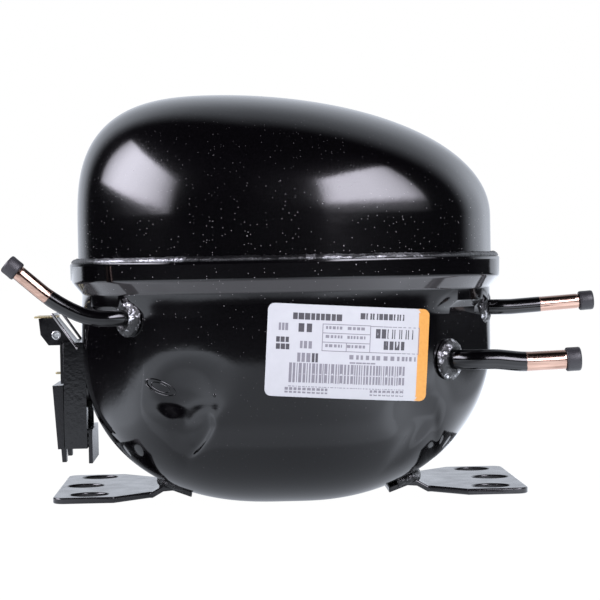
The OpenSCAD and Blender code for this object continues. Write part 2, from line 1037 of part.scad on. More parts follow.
block_half = 7;
yoke_low = bore_z - 6;
yoke_high = bore_z + 6;
yoke_half_l = 11;
yoke_half_w = 20;
slot_half_l = 15.6;
piston_top = -37;

module slide_block() {
  color([0.62, 0.62, 0.6])
    difference() {
      translate([-block_half, crank_r - block_half, yoke_low])
        cube([2 * block_half, 2 * block_half, yoke_high - yoke_low]);
      translate([0, crank_r, yoke_low - 1])
        cylinder(h = 20, r = crank_pin_r + 0.03);
    }
}

// Piston and yoke in one casting: the slide block runs across in the yoke's slot
module piston_yoke() {
  color([0.58, 0.58, 0.6])
    difference() {
      union() {
        translate([-yoke_half_l, -yoke_half_w, yoke_low])
          cube([2 * yoke_half_l, 2 * yoke_half_w, yoke_high - yoke_low]);
        translate([piston_top, 0, bore_z])
          rotate([0, 90, 0])
            cylinder(h = 22, r = piston_r);
        translate([-16, 0, bore_z])
          rotate([0, 90, 0])
            cylinder(h = 5.5, r = 5.9);
      }
      translate([-block_half - 0.05, -slot_half_l, yoke_low - 1])
        cube([2 * block_half + 0.1, 2 * slot_half_l, 14]);
      translate([piston_top + 5, 0, bore_z])
        rotate([0, -90, 0])
          rotate_extrude()
            translate([piston_r, 0])
              square(0.8, center = true);
    }
}

// ---- Cylinder block and valve gear --------------------------------------------------------------

plate_low = 94;
plate_high = 102;
hub_r = 14;
bore_face = -46;
head_half = 22;
bolt_y = 17.5;

// Draws its children at the four head bolts, with +Z pointing left
module at_head_bolts(x) {
  for (y = [-bolt_y, bolt_y], z = [-bolt_y, bolt_y])
    translate([x, y, bore_z + z])
      rotate([0, -90, 0])
        children();
}

module cylinder_block() {
  color([0.33, 0.33, 0.34])
    difference() {
      union() {
        translate([-46, -43, plate_low])
          cube([92, 86, plate_high - plate_low]);
        at_springs()
          translate([0, 0, stack_high])
            cylinder(h = plate_low - stack_high + 1, r = 5.5);
        translate([0, 0, 80.5])
          cylinder(h = 111.5 - 80.5, r = hub_r);
        translate([bore_face, 0, bore_z])
          rotate([0, 90, 0])
            cylinder(h = 26.5, r = 19);
        translate([bore_face, -head_half, bore_z - head_half])
          cube([6, 2 * head_half, 2 * head_half]);
        translate([bore_face, -15, plate_high - 1])
          cube([25, 30, 20]);
      }
      translate([0, 0, 70])
        cylinder(h = 50, r = journal_r + 0.03);
      translate([bore_face - 1, 0, bore_z])
        rotate([0, 90, 0])
          cylinder(h = 30, r = piston_r + 0.03);
      at_springs()
        translate([0, 0, stack_high - 1])
          cylinder(h = 15.5, r = 2.52);
      at_head_bolts(bore_face + 10)
        cylinder(h = 20, r = 1.52);
      translate([0, 0, web_low - 0.9])
        cylinder(h = web_high - web_low + 1.6, r = 19.8);
      for (s = [-1, 1])
        translate([28, s * 29, plate_high - 4])
          cylinder(h = 10, r = 1.52);
    }
}

module thrust_washer() {
  color([0.7, 0.7, 0.72])
    translate([0, 0, 111.55])
      difference() {
        cylinder(h = 0.9, r = 12);
        translate([0, 0, -1])
          cylinder(h = 3, r = journal_r + 0.06);
      }
}

// A square plate on the head's bolts, between two places along X
module head_slab(x, thickness) {
  difference() {
    translate([x - thickness, -head_half, bore_z - head_half])
      cube([thickness, 2 * head_half, 2 * head_half]);
    at_head_bolts(x + 1)
      cylinder(h = thickness + 2, r = 1.7);
  }
}

gasket_x = bore_face - 0.02;
valve_x = gasket_x - 0.62;
head_gasket_x = valve_x - 3.02;
head_x = head_gasket_x - 0.62;
head_deep = 14;
port_y = 5.5;

module cylinder_gasket() {
  color([0.25, 0.3, 0.32])
    difference() {
      head_slab(gasket_x, 0.6);
      translate([gasket_x + 1, 0, bore_z])
        rotate([0, -90, 0])
          cylinder(h = 3, r = piston_r + 0.8);
    }
}

module valve_plate() {
  color([0.55, 0.56, 0.58])
    difference() {
      head_slab(valve_x, 3);
      for (y = [-port_y, port_y])
        translate([valve_x + 1, y, bore_z - 3])
          rotate([0, -90, 0])
            cylinder(h = 5, r = 2.4);
    }
}

// The two pockets of the head, suction at the back and discharge at the front
module head_pockets(x, depth) {
  for (s = [-1, 1])
    translate([x - depth, s > 0 ? 1.5 : -14.5, bore_z - 13])
      cube([depth, 13, 26]);
}

module head_gasket() {
  color([0.25, 0.3, 0.32])
    difference() {
      head_slab(head_gasket_x, 0.6);
      head_pockets(head_gasket_x + 1, 3);
    }
}

module cylinder_head() {
  color([0.7, 0.71, 0.72])
    difference() {
      union() {
        head_slab(head_x, head_deep);
        translate([head_x - 9, head_half - 0.5, bore_z])
          rotate([-90, 0, 0])
            cylinder(h = 2, r = 4.4);
      }
      head_pockets(head_x + 1, head_deep - 2);
      translate([head_x - 9, 10, bore_z])
        rotate([-90, 0, 0])
          cylinder(h = 20, r = 2.8);
    }
}

module head_bolts() {
  bolt_head_x = head_x - head_deep - 0.02;
  color([0.3, 0.3, 0.32])
    at_head_bolts(bolt_head_x)
      union() {
        cylinder(h = 3.2, r = 3.6, $fn = 6);
        translate([0, 0, -24])
          cylinder(h = 24.5, r = 1.5);
      }
}

reed_t = 0.25;
reed_low = bore_z - 6.5;
reed_len = 16;

// A thin leaf over one port: a strip with a round tip
module reed(x, y) {
  translate([x, y, 0])
    rotate([90, 0, 90])
      linear_extrude(reed_t)
        union() {
          translate([-2, bore_z - 3])
            square([4, reed_low + reed_len - bore_z + 3]);
          translate([0, bore_z - 3])
            circle(3.4);
        }
}

module suction_reed() {
  color([0.72, 0.72, 0.74])
    reed(valve_x + 0.02, port_y);
}

module discharge_reed() {
  color([0.72, 0.72, 0.74])
    reed(valve_x - 3.02 - reed_t, -port_y);
}

module reed_stop() {
  x = valve_x - 3.02;
  color([0.6, 0.6, 0.6])
    rotate([90, 0, 0])
      translate([0, 0, port_y - 2.5])
        linear_extrude(5)
          polygon([
            [x, reed_low + reed_len + 3], [x, reed_low + reed_len + 0.3],
            [x - 0.5, reed_low + reed_len + 0.3], [x - 2.1, reed_low - 1],
            [x - 3.1, reed_low - 1], [x - 1.6, reed_low + reed_len + 3]
          ]);
}

// ---- Mufflers, shock loop and leads -------------------------------------------------------------

muffler = [-62, 24.6, 104];
muffler_size = [26, 24, 38];

module suction_muffler() {
  color([0.2, 0.2, 0.22])
    difference() {
      union() {
        translate(muffler)
          cube(muffler_size);
        translate([head_x - 9, head_half + 1.6, bore_z])
          rotate([-90, 0, 0])
            cylinder(h = 4, r = 4);
      }
      translate(muffler + [1.6, 1.6, 1.6])
        cube(muffler_size - [3.2, 3.2, 0]);
      translate([head_x - 9, head_half, bore_z])
        rotate([-90, 0, 0])
          cylinder(h = 6, r = 2.4);
    }
}

module muffler_lid() {
  color([0.22, 0.22, 0.24])
    union() {
      translate(muffler + [0, 0, muffler_size[2] + 0.02])
        cube([muffler_size[0], muffler_size[1], 2]);
      translate(muffler + [1.8, 1.8, muffler_size[2] - 2])
        cube([muffler_size[0] - 3.6, muffler_size[1] - 3.6, 2.2]);
    }
}

cover_x = 28;
cover_y = 29;
cover_top = 114;

module discharge_covers() {
  color([0.5, 0.5, 0.5])
    for (s = [-1, 1])
      translate([cover_x, s * cover_y, plate_high + 0.02])
        difference() {
          union() {
            cylinder(h = 2, r = 13.5);
            cylinder(h = 9, r = 11.5);
            translate([0, 0, 9])
              cylinder(h = 3, r1 = 11.5, r2 = 9);
          }
          difference() {
            translate([0, 0, -1])
              cylinder(h = 11, r = 10);
            cylinder(h = 12, r = 3.2);
          }
          translate([0, 0, -1])
            cylinder(h = 20, r = 1.7);
        }
}

module cover_bolts() {
  color([0.3, 0.3, 0.32])
    for (s = [-1, 1])
      translate([cover_x, s * cover_y, cover_top + 0.1])
        union() {
          cylinder(h = 3, r = 3.4, $fn = 6);
          translate([0, 0, -15.4])
            cylinder(h = 15.5, r = 1.5);
        }
}

// The tube that takes the discharge gas from the muffler to the shell without passing on the shake
shock_route = [
  [28, -40.8, 107], [28, -46, 107], [27, -52, 107], [22, -56.5, 106.5], [14, -58.5, 106],
  [2, -59.5, 105.5], [-10, -59.5, 105], [-20, -59.5, 104], [-27, -59.5, 101.5], [-29, -59.5, 97.5],
  [-26, -60, 93.5], [-18, -60.5, 91.5], [-6, -60.5, 90.5], [8, -60, 89.5], [22, -59, 88],
  [34, -57, 86.5], [46, -53, 84.5], [56, -46.5, 82.5], [63, -38.5, 80.7], [67, -31, 79.4],
  [69.6, -26.3, 78.6], [72.6, -24.1, 78.2], [75.9, -24.62, 78.2], [80.8, -26.03, 78.2]
];

module shock_loop() {
  color([0.55, 0.35, 0.25])
    sweep(shock_route, 2, 8);
}

lead_route = [[-75.4, 0, 0], [-71, 0, 2], [-66, 0, 7], [-61, 0, 14], [-56, 0, 20], [-51, 0, 24],
  [-47.4, 0, 26.3], [-44.3, 0, 27.6]];

module lead_wires() {
  color([0.8, 0.8, 0.78])
    for (y = [-6, 0, 6])
      translate([0, y, terminal_z + 4])
        sweep(lead_route, 0.9, 8);
}

// ---- What is drawn ------------------------------------------------------------------------------

upper_shell();
lower_shell();
shell_weld_bead();
left_foot();
right_foot();
suction_tube();
discharge_tube();
process_tube();
suction_collar();
discharge_collar();
process_collar();
suction_cap();
discharge_cap();
process_cap();
terminal_cup();
terminal_glass_seals();
terminal_pins();
terminal_fence();
start_relay();
overload_protector();
relay_tabs();
bail_clip();
insulating_plate();
earth_screw();
rating_label();
connector_block();
spring_seats();
lower_snubbers();
suspension_springs();
upper_snubbers();
stator_core();
slot_liners();
main_winding();
start_winding();
stator_bolts();
cylinder_block();
thrust_washer();
cylinder_gasket();
valve_plate();
head_gasket();
cylinder_head();
head_bolts();
reed_stop();
suction_muffler();
muffler_lid();
discharge_covers();
cover_bolts();
shock_loop();
lead_wires();
crankshaft();
counterweight();
rotor_core();
rotor_cage();
oil_pickup();
oil_gallery_plug();
slide_block();
piston_yoke();
suction_reed();
discharge_reed();
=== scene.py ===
"""Looks of a hermetic reciprocating compressor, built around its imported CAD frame."""
import json
import math
import random

import bmesh
import bpy
import numpy as np
from mathutils import Matrix, Vector, noise


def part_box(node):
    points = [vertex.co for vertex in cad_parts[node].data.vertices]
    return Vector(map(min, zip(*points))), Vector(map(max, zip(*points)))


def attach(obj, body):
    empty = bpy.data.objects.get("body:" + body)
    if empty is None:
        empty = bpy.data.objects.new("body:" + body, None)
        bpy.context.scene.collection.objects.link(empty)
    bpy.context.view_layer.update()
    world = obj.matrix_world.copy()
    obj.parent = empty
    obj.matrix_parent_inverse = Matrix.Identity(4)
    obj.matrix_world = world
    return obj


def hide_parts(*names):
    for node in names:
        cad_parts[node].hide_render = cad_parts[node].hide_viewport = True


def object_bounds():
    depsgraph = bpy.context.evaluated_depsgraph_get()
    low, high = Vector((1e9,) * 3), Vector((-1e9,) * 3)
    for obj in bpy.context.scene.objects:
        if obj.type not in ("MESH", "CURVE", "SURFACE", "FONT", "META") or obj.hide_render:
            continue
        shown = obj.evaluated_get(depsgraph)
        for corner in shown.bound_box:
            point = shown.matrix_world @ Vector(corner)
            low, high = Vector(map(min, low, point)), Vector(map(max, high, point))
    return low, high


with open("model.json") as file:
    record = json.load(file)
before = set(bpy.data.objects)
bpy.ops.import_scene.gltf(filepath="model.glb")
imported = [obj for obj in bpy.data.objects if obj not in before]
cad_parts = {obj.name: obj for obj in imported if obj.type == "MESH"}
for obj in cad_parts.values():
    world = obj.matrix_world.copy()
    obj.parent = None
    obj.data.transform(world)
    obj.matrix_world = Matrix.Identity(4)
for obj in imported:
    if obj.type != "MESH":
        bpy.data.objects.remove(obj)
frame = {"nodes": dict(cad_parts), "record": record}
cad_low, cad_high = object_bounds()
nodes = frame["nodes"]
body_of_node = {n: b for b, ns in frame["record"]["behaviour"]["bodies"].items() for n in ns}

MM = 0.001
SEED = 7
rng = random.Random(SEED)


# ---- Materials ----------------------------------------------------------------------------------

def feed(tree, socket, value):
    """Links another socket to this one, or sets its value. A colour gets its alpha here."""
    if isinstance(value, bpy.types.NodeSocket):
        tree.links.new(value, socket)
    else:
        socket.default_value = (*value, 1) if socket.type == "RGBA" else value


class Look:
    """A Principled material, and the nodes that feed it."""

    def __init__(self, name, rough=0.5, metal=0.0, **constants):
        self.mat = bpy.data.materials.new(name)
        self.mat.use_nodes = True
        self.tree = self.mat.node_tree
        self.bsdf = self.tree.nodes["Principled BSDF"]
        self.bsdf.inputs["Metallic"].default_value = metal
        self.bsdf.inputs["Roughness"].default_value = rough
        for key, value in constants.items():
            self.bsdf.inputs[key.replace("_", " ")].default_value = value
        self.object = self.node("TexCoord").outputs["Object"]
        self.heights = None

    def node(self, kind, **settings):
        n = self.tree.nodes.new("ShaderNode" + kind)
        for key, value in settings.items():
            setattr(n, key, value)
        return n

    def link(self, a, b):
        self.tree.links.new(a, b)

    def math(self, operation, *values):
        n = self.node("Math", operation=operation)
        for socket, value in zip(n.inputs, values):
            feed(self.tree, socket, value)
        return n.outputs[0]

    def mapped(self, stretch):
        n = self.node("Mapping")
        n.inputs["Scale"].default_value = stretch
        self.link(self.object, n.inputs["Vector"])
        return n.outputs[0]

    def noise(self, scale, detail=3, roughness=0.55, stretch=None, distortion=0.0):
        n = self.node("TexNoise")
        n.inputs["Scale"].default_value = scale
        n.inputs["Detail"].default_value = detail
        n.inputs["Roughness"].default_value = roughness
        n.inputs["Distortion"].default_value = distortion
        self.link(self.mapped(stretch) if stretch else self.object, n.inputs["Vector"])
        return n.outputs[0]

    def specks(self, scale, size, share):
        """1 inside small round spots of a random share of a cell pattern."""
        n = self.node("TexVoronoi")
        n.inputs["Scale"].default_value = scale
        self.link(self.object, n.inputs["Vector"])
        inside = self.ramp(n.outputs["Distance"], (size * 0.6, 1.0), (size, 0.0))
        split = self.node("SeparateColor")
        self.link(n.outputs["Color"], split.inputs[0])
        chosen = self.math("LESS_THAN", split.outputs[0], share)
        return self.math("MULTIPLY", inside, chosen)

    def waves(self, scale, axis, distortion=0.0):
        n = self.node("TexWave", bands_direction=axis)
        n.inputs["Scale"].default_value = scale
        n.inputs["Distortion"].default_value = distortion
        self.link(self.object, n.inputs["Vector"])
        return n.outputs["Fac"]

    def axis(self, direction, offset=0.0):
        """Place along a direction, in metres."""
        n = self.node("VectorMath", operation="DOT_PRODUCT")
        self.link(self.object, n.inputs[0])
        n.inputs[1].default_value = direction
        return self.math("SUBTRACT", n.outputs["Value"], offset)

    def ramp(self, value, *stops):
        n = self.node("ValToRGB")
        while len(n.color_ramp.elements) < len(stops):
            n.color_ramp.elements.new(0.5)
        for element, (place, tone) in zip(n.color_ramp.elements, stops):
            element.position = place
            element.color = (tone, tone, tone, 1) if isinstance(tone, float) else (*tone, 1)
        self.link(value, n.inputs[0])
        return n.outputs[0]

    def mix(self, share, a, b):
        n = self.node("Mix", data_type="RGBA")
        for index, value in ((0, share), (6, a), (7, b)):
            feed(self.tree, n.inputs[index], value)
        return n.outputs[2]

    def color(self, value):
        feed(self.tree, self.bsdf.inputs["Base Color"], value)

    def rough(self, value):
        feed(self.tree, self.bsdf.inputs["Roughness"], value)

    def metal(self, value):
        feed(self.tree, self.bsdf.inputs["Metallic"], value)

    def bump(self, height, distance, strength=1.0):
        """Adds a height in metres on top of any earlier one."""
        n = self.node("Bump")
        n.inputs["Strength"].default_value = strength
        n.inputs["Distance"].default_value = distance
        self.link(height, n.inputs["Height"])
        if self.heights is not None:
            self.link(self.heights, n.inputs["Normal"])
        self.heights = n.outputs[0]
        self.link(self.heights, self.bsdf.inputs["Normal"])


# Colour of real dust specks, and also of the painted sheen under the bowl's flared band
DUST_AND_SHEEN = (0.20, 0.19, 0.19)
BLACK = (0.0006, 0.0005, 0.0007)


def make_shell_paint(name, low_rough, high_rough, dusty, seam_dust, painted_sheen=0.0):
    """Gloss black paint with orange peel, fine dust and specks that gather towards the seam.

    The painted sheen is a lighter band painted under the flared band: a painted reflection, in the dust
    colour.
    """
    m = Look(name, IOR=1.5)
    cloud = m.noise(14, 4)
    fine = m.noise(900, 2)
    rough = m.ramp(cloud, (0.3, low_rough), (0.75, high_rough))
    height = m.axis((0, 0, 1))
    near_seam = m.ramp(m.math("ABSOLUTE", m.math("SUBTRACT", height, seam_dust)),
                       (0.0, 1.0), (0.028, 0.35), (0.06, 0.12))
    small = m.specks(780, 0.15, 0.40 * dusty)
    large = m.specks(300, 0.09, 0.22 * dusty)
    spots = m.math("MULTIPLY", m.math("MAXIMUM", small, large), near_seam)
    paint = m.mix(m.ramp(fine, (0.35, 0.0), (0.7, 1.0)), BLACK, (0.0012, 0.0010, 0.0013))
    if painted_sheen:
        # 0 at a height of 80 mm, 1 at 100 mm
        place = m.math("MULTIPLY", m.math("SUBTRACT", height, 0.080), 50.0)
        # Painted sheen: the paint under the flared band is lightened to stand in for a reflection
        painted_sheen_band = m.ramp(place, (0.33, 0.0), (0.37, painted_sheen), (0.58, painted_sheen), (0.62, 0.0))
        paint = m.mix(painted_sheen_band, paint, DUST_AND_SHEEN)
    m.color(m.mix(spots, paint, DUST_AND_SHEEN))
    m.rough(m.math("ADD", rough, m.math("MULTIPLY", spots, 0.3)))
    m.bump(m.noise(260, 2), 0.00005, 0.3)
    m.bump(m.noise(38, 2), 0.0003, 0.15)
    return m.mat


def make_weld(name, metal_share, low, high, patch_scale=60, bright_runs=()):
    """Rough weld under black paint, bare on a share of it and all along the bright runs of X."""
    m = Look(name, IOR=1.5)
    blotches = m.noise(patch_scale, 4, 0.7, distortion=0.6)
    if bright_runs:
        # 0 at X = -100 mm, 1 at 100 mm
        across = m.math("ADD", m.math("MULTIPLY", m.axis((1, 0, 0)), 5.0), 0.5)
        stops = [(0.0, 0.0)]
        for start, end, amount in bright_runs:
            a, b = start * MM * 5 + 0.5, end * MM * 5 + 0.5
            stops += [(a - 0.02, 0.0), (a + 0.02, amount), (b - 0.02, amount), (b + 0.02, 0.0)]
        blotches = m.math("ADD", blotches, m.ramp(across, *stops))
    patches = m.ramp(blotches, (0.60 - metal_share * 0.3, 0.0), (0.66 - metal_share * 0.3, 1.0))
    grit = m.noise(1400, 3, 0.7)
    metal = m.mix(m.ramp(grit, (0.3, 0.0), (0.7, 1.0)), (low, low, low * 1.04), (high, high, high * 1.02))
    m.color(m.mix(patches, (0.003, 0.003, 0.0033), metal))
    m.metal(patches)
    m.rough(m.ramp(grit, (0.2, 0.2), (0.8, 0.45)))
    m.bump(m.noise(900, 3, 0.7), 0.0005, 0.8)
    m.bump(m.noise(300, 2), 0.0012, 0.6)
    return m.mat


def make_plain_paint(name, base, low_rough, high_rough, wear=0.0):
    """Black paint on small parts, with a little wear that shows the metal."""
    m = Look(name, IOR=1.5)
    worn = m.specks(330, 0.2, wear)
    m.color(m.mix(worn, m.mix(m.noise(40, 3), base, tuple(1.8 * c for c in base)), (0.35, 0.34, 0.33)))
    m.rough(m.ramp(m.noise(120, 4), (0.3, low_rough), (0.7, high_rough)))
    m.bump(m.noise(700, 2), 0.00008, 0.4)
    return m.mat


def make_tube(name, direction, edge):
    """Black paint as far as an uneven edge, then bare drawn copper."""
    m = Look(name, IOR=1.5)
    ragged = m.math("MULTIPLY", m.math("SUBTRACT", m.noise(420, 3), 0.5), 0.0016)
    along = m.math("ADD", m.axis(direction, edge), ragged)
    bare = m.ramp(m.math("ADD", m.math("MULTIPLY", along, 900.0), 0.5), (0.35, 0.0), (0.65, 1.0))
    drawn = m.noise(160, 3, 0.6, stretch=(0.15, 6, 6))
    tarnish = m.noise(110, 4, 0.65, stretch=(0.2, 2, 2), distortion=0.3)
    copper = m.mix(m.ramp(tarnish, (0.35, 0.0), (0.72, 1.0)), (0.52, 0.35, 0.28), (0.20, 0.12, 0.09))
    m.color(m.mix(bare, BLACK, copper))
    m.metal(bare)
    m.rough(m.mix(bare, m.ramp(drawn, (0.2, 0.10), (0.8, 0.16)), m.ramp(drawn, (0.2, 0.10), (0.8, 0.24))))
    m.bump(m.noise(300, 2), 0.00003, 0.2)
    return m.mat


def make_metal(name, base, low_rough, high_rough, scale=300, stretch=None, grain=0.00005, dark=0.7):
    """Machined, drawn or cast metal: tone and gloss follow one grain pattern."""
    m = Look(name, metal=1.0)
    grain_map = m.noise(scale, 4, 0.6, stretch=stretch)
    blotch = m.noise(45, 3)
    m.color(m.mix(m.ramp(blotch, (0.3, 0.0), (0.7, 1.0)), tuple(dark * c for c in base), base))
    m.rough(m.ramp(grain_map, (0.25, low_rough), (0.75, high_rough)))
    m.bump(grain_map, grain, 0.6)
    return m.mat


def make_plastic(name, base, rough, grain=0.00006, variation=1.35, scale=900):
    """Moulded plastic or rubber with a fine spark texture."""
    m = Look(name, IOR=1.48)
    m.color(m.mix(m.noise(70, 3), base, tuple(variation * c for c in base)))
    m.rough(m.ramp(m.noise(130, 3), (0.25, rough - 0.08), (0.75, rough + 0.08)))
    m.bump(m.noise(scale, 2, 0.6), grain, 0.5)
    return m.mat


def make_laminations(name):
    """Stacked electrical steel: thin dark lines between sheets, half a millimetre apart."""
    m = Look(name, metal=1.0)
    lines = m.ramp(m.waves(1000, "Z"), (0.05, 0.0), (0.3, 1.0))
    m.color(m.mix(lines, (0.10, 0.11, 0.13), m.mix(m.noise(80, 3), (0.34, 0.36, 0.40), (0.46, 0.47, 0.49))))
    m.rough(m.ramp(m.noise(200, 3), (0.3, 0.35), (0.7, 0.55)))
    m.bump(lines, 0.0001, 0.6)
    return m.mat


def make_windings(name, base):
    """Enamelled wire laid side by side round the motor, with painted shade in the grooves between the wires.
    """
    m = Look(name, metal=1.0, Coat_Weight=0.6, Coat_Roughness=0.15)
    wire_ridges_and_shade = m.waves(640, "Z", distortion=1.2)
    strands = m.noise(500, 2, stretch=(0.3, 0.3, 3))
    bright = m.mix(strands, base, tuple(1.25 * c for c in base))
    # Painted shade: the grooves between wires take a darker copy of the wire colour
    m.color(m.mix(wire_ridges_and_shade, tuple(0.35 * c for c in base), bright))
    m.rough(m.ramp(strands, (0.3, 0.25), (0.7, 0.45)))
    m.bump(wire_ridges_and_shade, 0.0003, 0.8)
    return m.mat


def make_paper(name):
    """White coated label stock."""
    m = Look(name, IOR=1.46)
    m.color(m.mix(m.noise(300, 3), (0.37, 0.375, 0.38), (0.415, 0.42, 0.425)))
    m.rough(m.ramp(m.noise(500, 3), (0.3, 0.40), (0.7, 0.52)))
    m.bump(m.noise(1500, 2), 0.00002, 0.3)
    return m.mat


def make_ink(name, base):
    """Printing ink, a little uneven."""
    m = Look(name, IOR=1.46)
    m.color(m.mix(m.noise(900, 3), base, tuple(min(1.0, 1.3 * c + 0.02) for c in base)))
    m.rough(m.ramp(m.noise(700, 2), (0.3, 0.35), (0.7, 0.5)))
    return m.mat


def make_glass(name):
    """Green sealing glass."""
    m = Look(name, rough=0.12, IOR=1.5, Transmission_Weight=0.35)
    m.color(m.mix(m.noise(400, 3), (0.05, 0.16, 0.14), (0.10, 0.28, 0.24)))
    m.bump(m.noise(500, 2), 0.0001, 0.3)
    return m.mat


DOME_PAINT = make_shell_paint("dome_paint", 0.10, 0.155, 1.0, 0.104)
# The bowl's last number is the strength of the painted sheen under its flared band
BOWL_PAINT = make_shell_paint("bowl_paint", 0.075, 0.12, 0.55, 0.095, 0.17)
SEAM_WELD = make_weld("seam_weld", -0.04, 0.08, 0.42, 60, [(-81, -40, 0.22), (11, 56, 0.15)])
COLLAR_WELD = make_weld("collar_weld", 0.14, 0.25, 0.95, 210)
FOOT_WELD = make_weld("foot_weld", -0.02, 0.2, 0.7, 150)
FOOT_PAINT = make_plain_paint("foot_paint", (0.004, 0.0036, 0.0042), 0.12, 0.22, 0.04)
FENCE_PAINT = make_plain_paint("fence_paint", (0.0012, 0.0012, 0.0014), 0.11, 0.17, 0.03)
RUBBER = make_plastic("rubber", (0.012, 0.011, 0.013), 0.50)
HOUSING = make_plastic("housing_plastic", (0.0012, 0.0010, 0.0015), 0.20, 0.00003)
SMOOTH_PLASTIC = make_plastic("smooth_plastic", (0.0030, 0.0028, 0.0034), 0.20, 0.00002)
WHITE_PLASTIC = make_plastic("white_plastic", (0.62, 0.59, 0.50), 0.45, variation=1.15)
GASKET = make_plastic("gasket_fibre", (0.07, 0.10, 0.11), 0.7, 0.0001, 1.6, 500)
MUFFLER = make_plastic("muffler_plastic", (0.035, 0.035, 0.04), 0.45)
STEEL = make_metal("machined_steel", (0.60, 0.60, 0.60), 0.22, 0.42, 260, (1, 1, 8))
SPRING_STEEL = make_metal("spring_steel", (0.58, 0.57, 0.56), 0.2, 0.36, 500)
WIRE_STEEL = make_metal("wire_steel", (0.24, 0.23, 0.23), 0.16, 0.28, 600)
CAST_IRON = make_metal("cast_iron", (0.24, 0.24, 0.25), 0.42, 0.68, 550, None, 0.0003, 0.75)
ALUMINIUM = make_metal("cast_aluminium", (0.76, 0.77, 0.78), 0.34, 0.55, 420, None, 0.00015, 0.82)
BRASS = make_metal("plated_brass", (0.72, 0.60, 0.34), 0.25, 0.42, 400)
BRAZED = make_metal("brazed_copper", (0.62, 0.36, 0.25), 0.3, 0.5, 300)
LAMINATION = make_laminations("lamination")
WINDING = make_windings("winding", (0.62, 0.24, 0.08))
START_WINDING = make_windings("start_winding_wire", (0.72, 0.34, 0.14))
GLASS = make_glass("fused_glass")
PAPER = make_paper("label_paper")
ORANGE = make_ink("label_orange", (0.45, 0.205, 0.033))
INK = make_ink("label_ink", (0.03, 0.028, 0.033))
GREY_INK = make_ink("label_grey_ink", (0.13, 0.125, 0.14))


# ---- Mesh helpers -------------------------------------------------------------------------------

# Metres within which a CAD node's corners are joined, and the largest angle smoothed on its copy
WELD_DISTANCE = 2e-6
DRESSED_SMOOTH = 40


def new_piece(name, points, faces, materials, node=None, body=None, smooth=35, choose=None):
    """A mesh piece from points in millimetres. With a node, it stands for that CAD node."""
    mesh = bpy.data.meshes.new(name)
    mesh.from_pydata([tuple(c * MM for c in p) for p in points], [], faces)
    bm = bmesh.new()
    bm.from_mesh(mesh)
    bmesh.ops.recalc_face_normals(bm, faces=bm.faces)
    bm.to_mesh(mesh)
    bm.free()
    return place_piece(name, mesh, materials, node, body, smooth, choose)


def place_piece(name, mesh, materials, node, body, smooth, choose=None):
    """Gives a mesh its looks and body. choose picks a face's material by its centre."""
    for m in materials if isinstance(materials, list) else [materials]:
        mesh.materials.append(m)
    if choose:
        for polygon in mesh.polygons:
            polygon.material_index = choose(polygon.center / MM)
    mesh.shade_smooth()
    mesh.set_sharp_from_angle(angle=math.radians(smooth))
    obj = bpy.data.objects.new(name, mesh)
    bpy.context.scene.collection.objects.link(obj)
    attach(obj, body or body_of_node[node])
    if node:
        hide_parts(node)
    return obj


def quads(low, high, n):
    """Faces between two rings of n points, given the numbers of their first points."""
    return [(low + i, low + (i + 1) % n, high + (i + 1) % n, high + i) for i in range(n)]


def skin(rings, closed=False):
    """Points and faces of a surface over equal rings. Open runs get a fan at each end."""
    n, m = len(rings[0]), len(rings)
    points = [tuple(p) for ring in rings for p in ring]
    faces = []
    for j in range(m if closed else m - 1):
        faces += quads(j * n, (j + 1) % m * n, n)
    if not closed:
        for ring, base, step in ((rings[0], 0, -1), (rings[-1], (m - 1) * n, 1)):
            points.append(tuple(np.mean(np.array(ring), axis=0)))
            faces += [(base + i, base + (i + step) % n, len(points) - 1) for i in range(n)]
    return points, faces


def dress(node, material, width=0.0, segments=2, shape=None):
    """A finished copy of a CAD node: welded, flat faces merged, edges rounded by a width in mm."""
    bm = bmesh.new()
    bm.from_mesh(nodes[node].data)
    bmesh.ops.remove_doubles(bm, verts=bm.verts, dist=WELD_DISTANCE)
    bmesh.ops.dissolve_limit(bm, angle_limit=math.radians(0.5), verts=bm.verts, edges=bm.edges)
    if shape:
        for v in bm.verts:
            v.co = Vector(shape(v.co / MM)) * MM
    mesh = bpy.data.meshes.new(node + "_finished")
    bm.to_mesh(mesh)
    bm.free()
    obj = place_piece(mesh.name, mesh, material, node, None, DRESSED_SMOOTH)
    if width:
        edges = obj.modifiers.new("edges", "BEVEL")
        edges.width = width * MM
        edges.segments = segments
        edges.limit_method = "ANGLE"
        edges.angle_limit = math.radians(30)


def sweep(path, radii, sides):
    """Rings round a path, carried along it without twisting. Radii is a number or one a point."""
    path = np.array(path, float)
    if not hasattr(radii, "__len__"):
        radii = [radii] * len(path)
    along = np.gradient(path, axis=0)
    along /= np.linalg.norm(along, axis=1)[:, None]
    side = np.cross(along[0], (0, 0, 1) if abs(along[0][2]) < 0.9 else (1, 0, 0))
    rings = []
    for p, t, r in zip(path, along, radii):
        side = side - t * side.dot(t)
        side /= np.linalg.norm(side)
        up = np.cross(t, side)
        rings.append([p + r * (math.cos(a) * side + math.sin(a) * up)
                      for a in np.arange(sides) * 2 * math.pi / sides])
    return rings


def lathe(profile, frame_matrix, sides, wobble=None):
    """Rings of a turned profile of (radius, height), placed by a matrix in millimetres."""
    rings = []
    for r, h in profile:
        ring = []
        for i in range(sides):
            a = i * 2 * math.pi / sides
            grow = wobble(a, r, h) if wobble else 0.0
            out = r + grow
            ring.append(frame_matrix @ Vector((out * math.cos(a), out * math.sin(a), h + grow)))
        rings.append(ring)
    return rings


def stand(place, direction):
    """A matrix that puts +Z along a direction at a place, in millimetres."""
    turn = Vector(direction).to_track_quat("Z", "Y").to_matrix().to_4x4()
    return Matrix.Translation(Vector(place)) @ turn


def join_shapes(shapes):
    """Several shapes' points and faces as one."""
    points, faces = [], []
    for p, f in shapes:
        base = len(points)
        points += p
        faces += [tuple(base + i for i in face) for face in f]
    return points, faces


# ---- Shell formulas, as in the CAD --------------------------------------------------------------

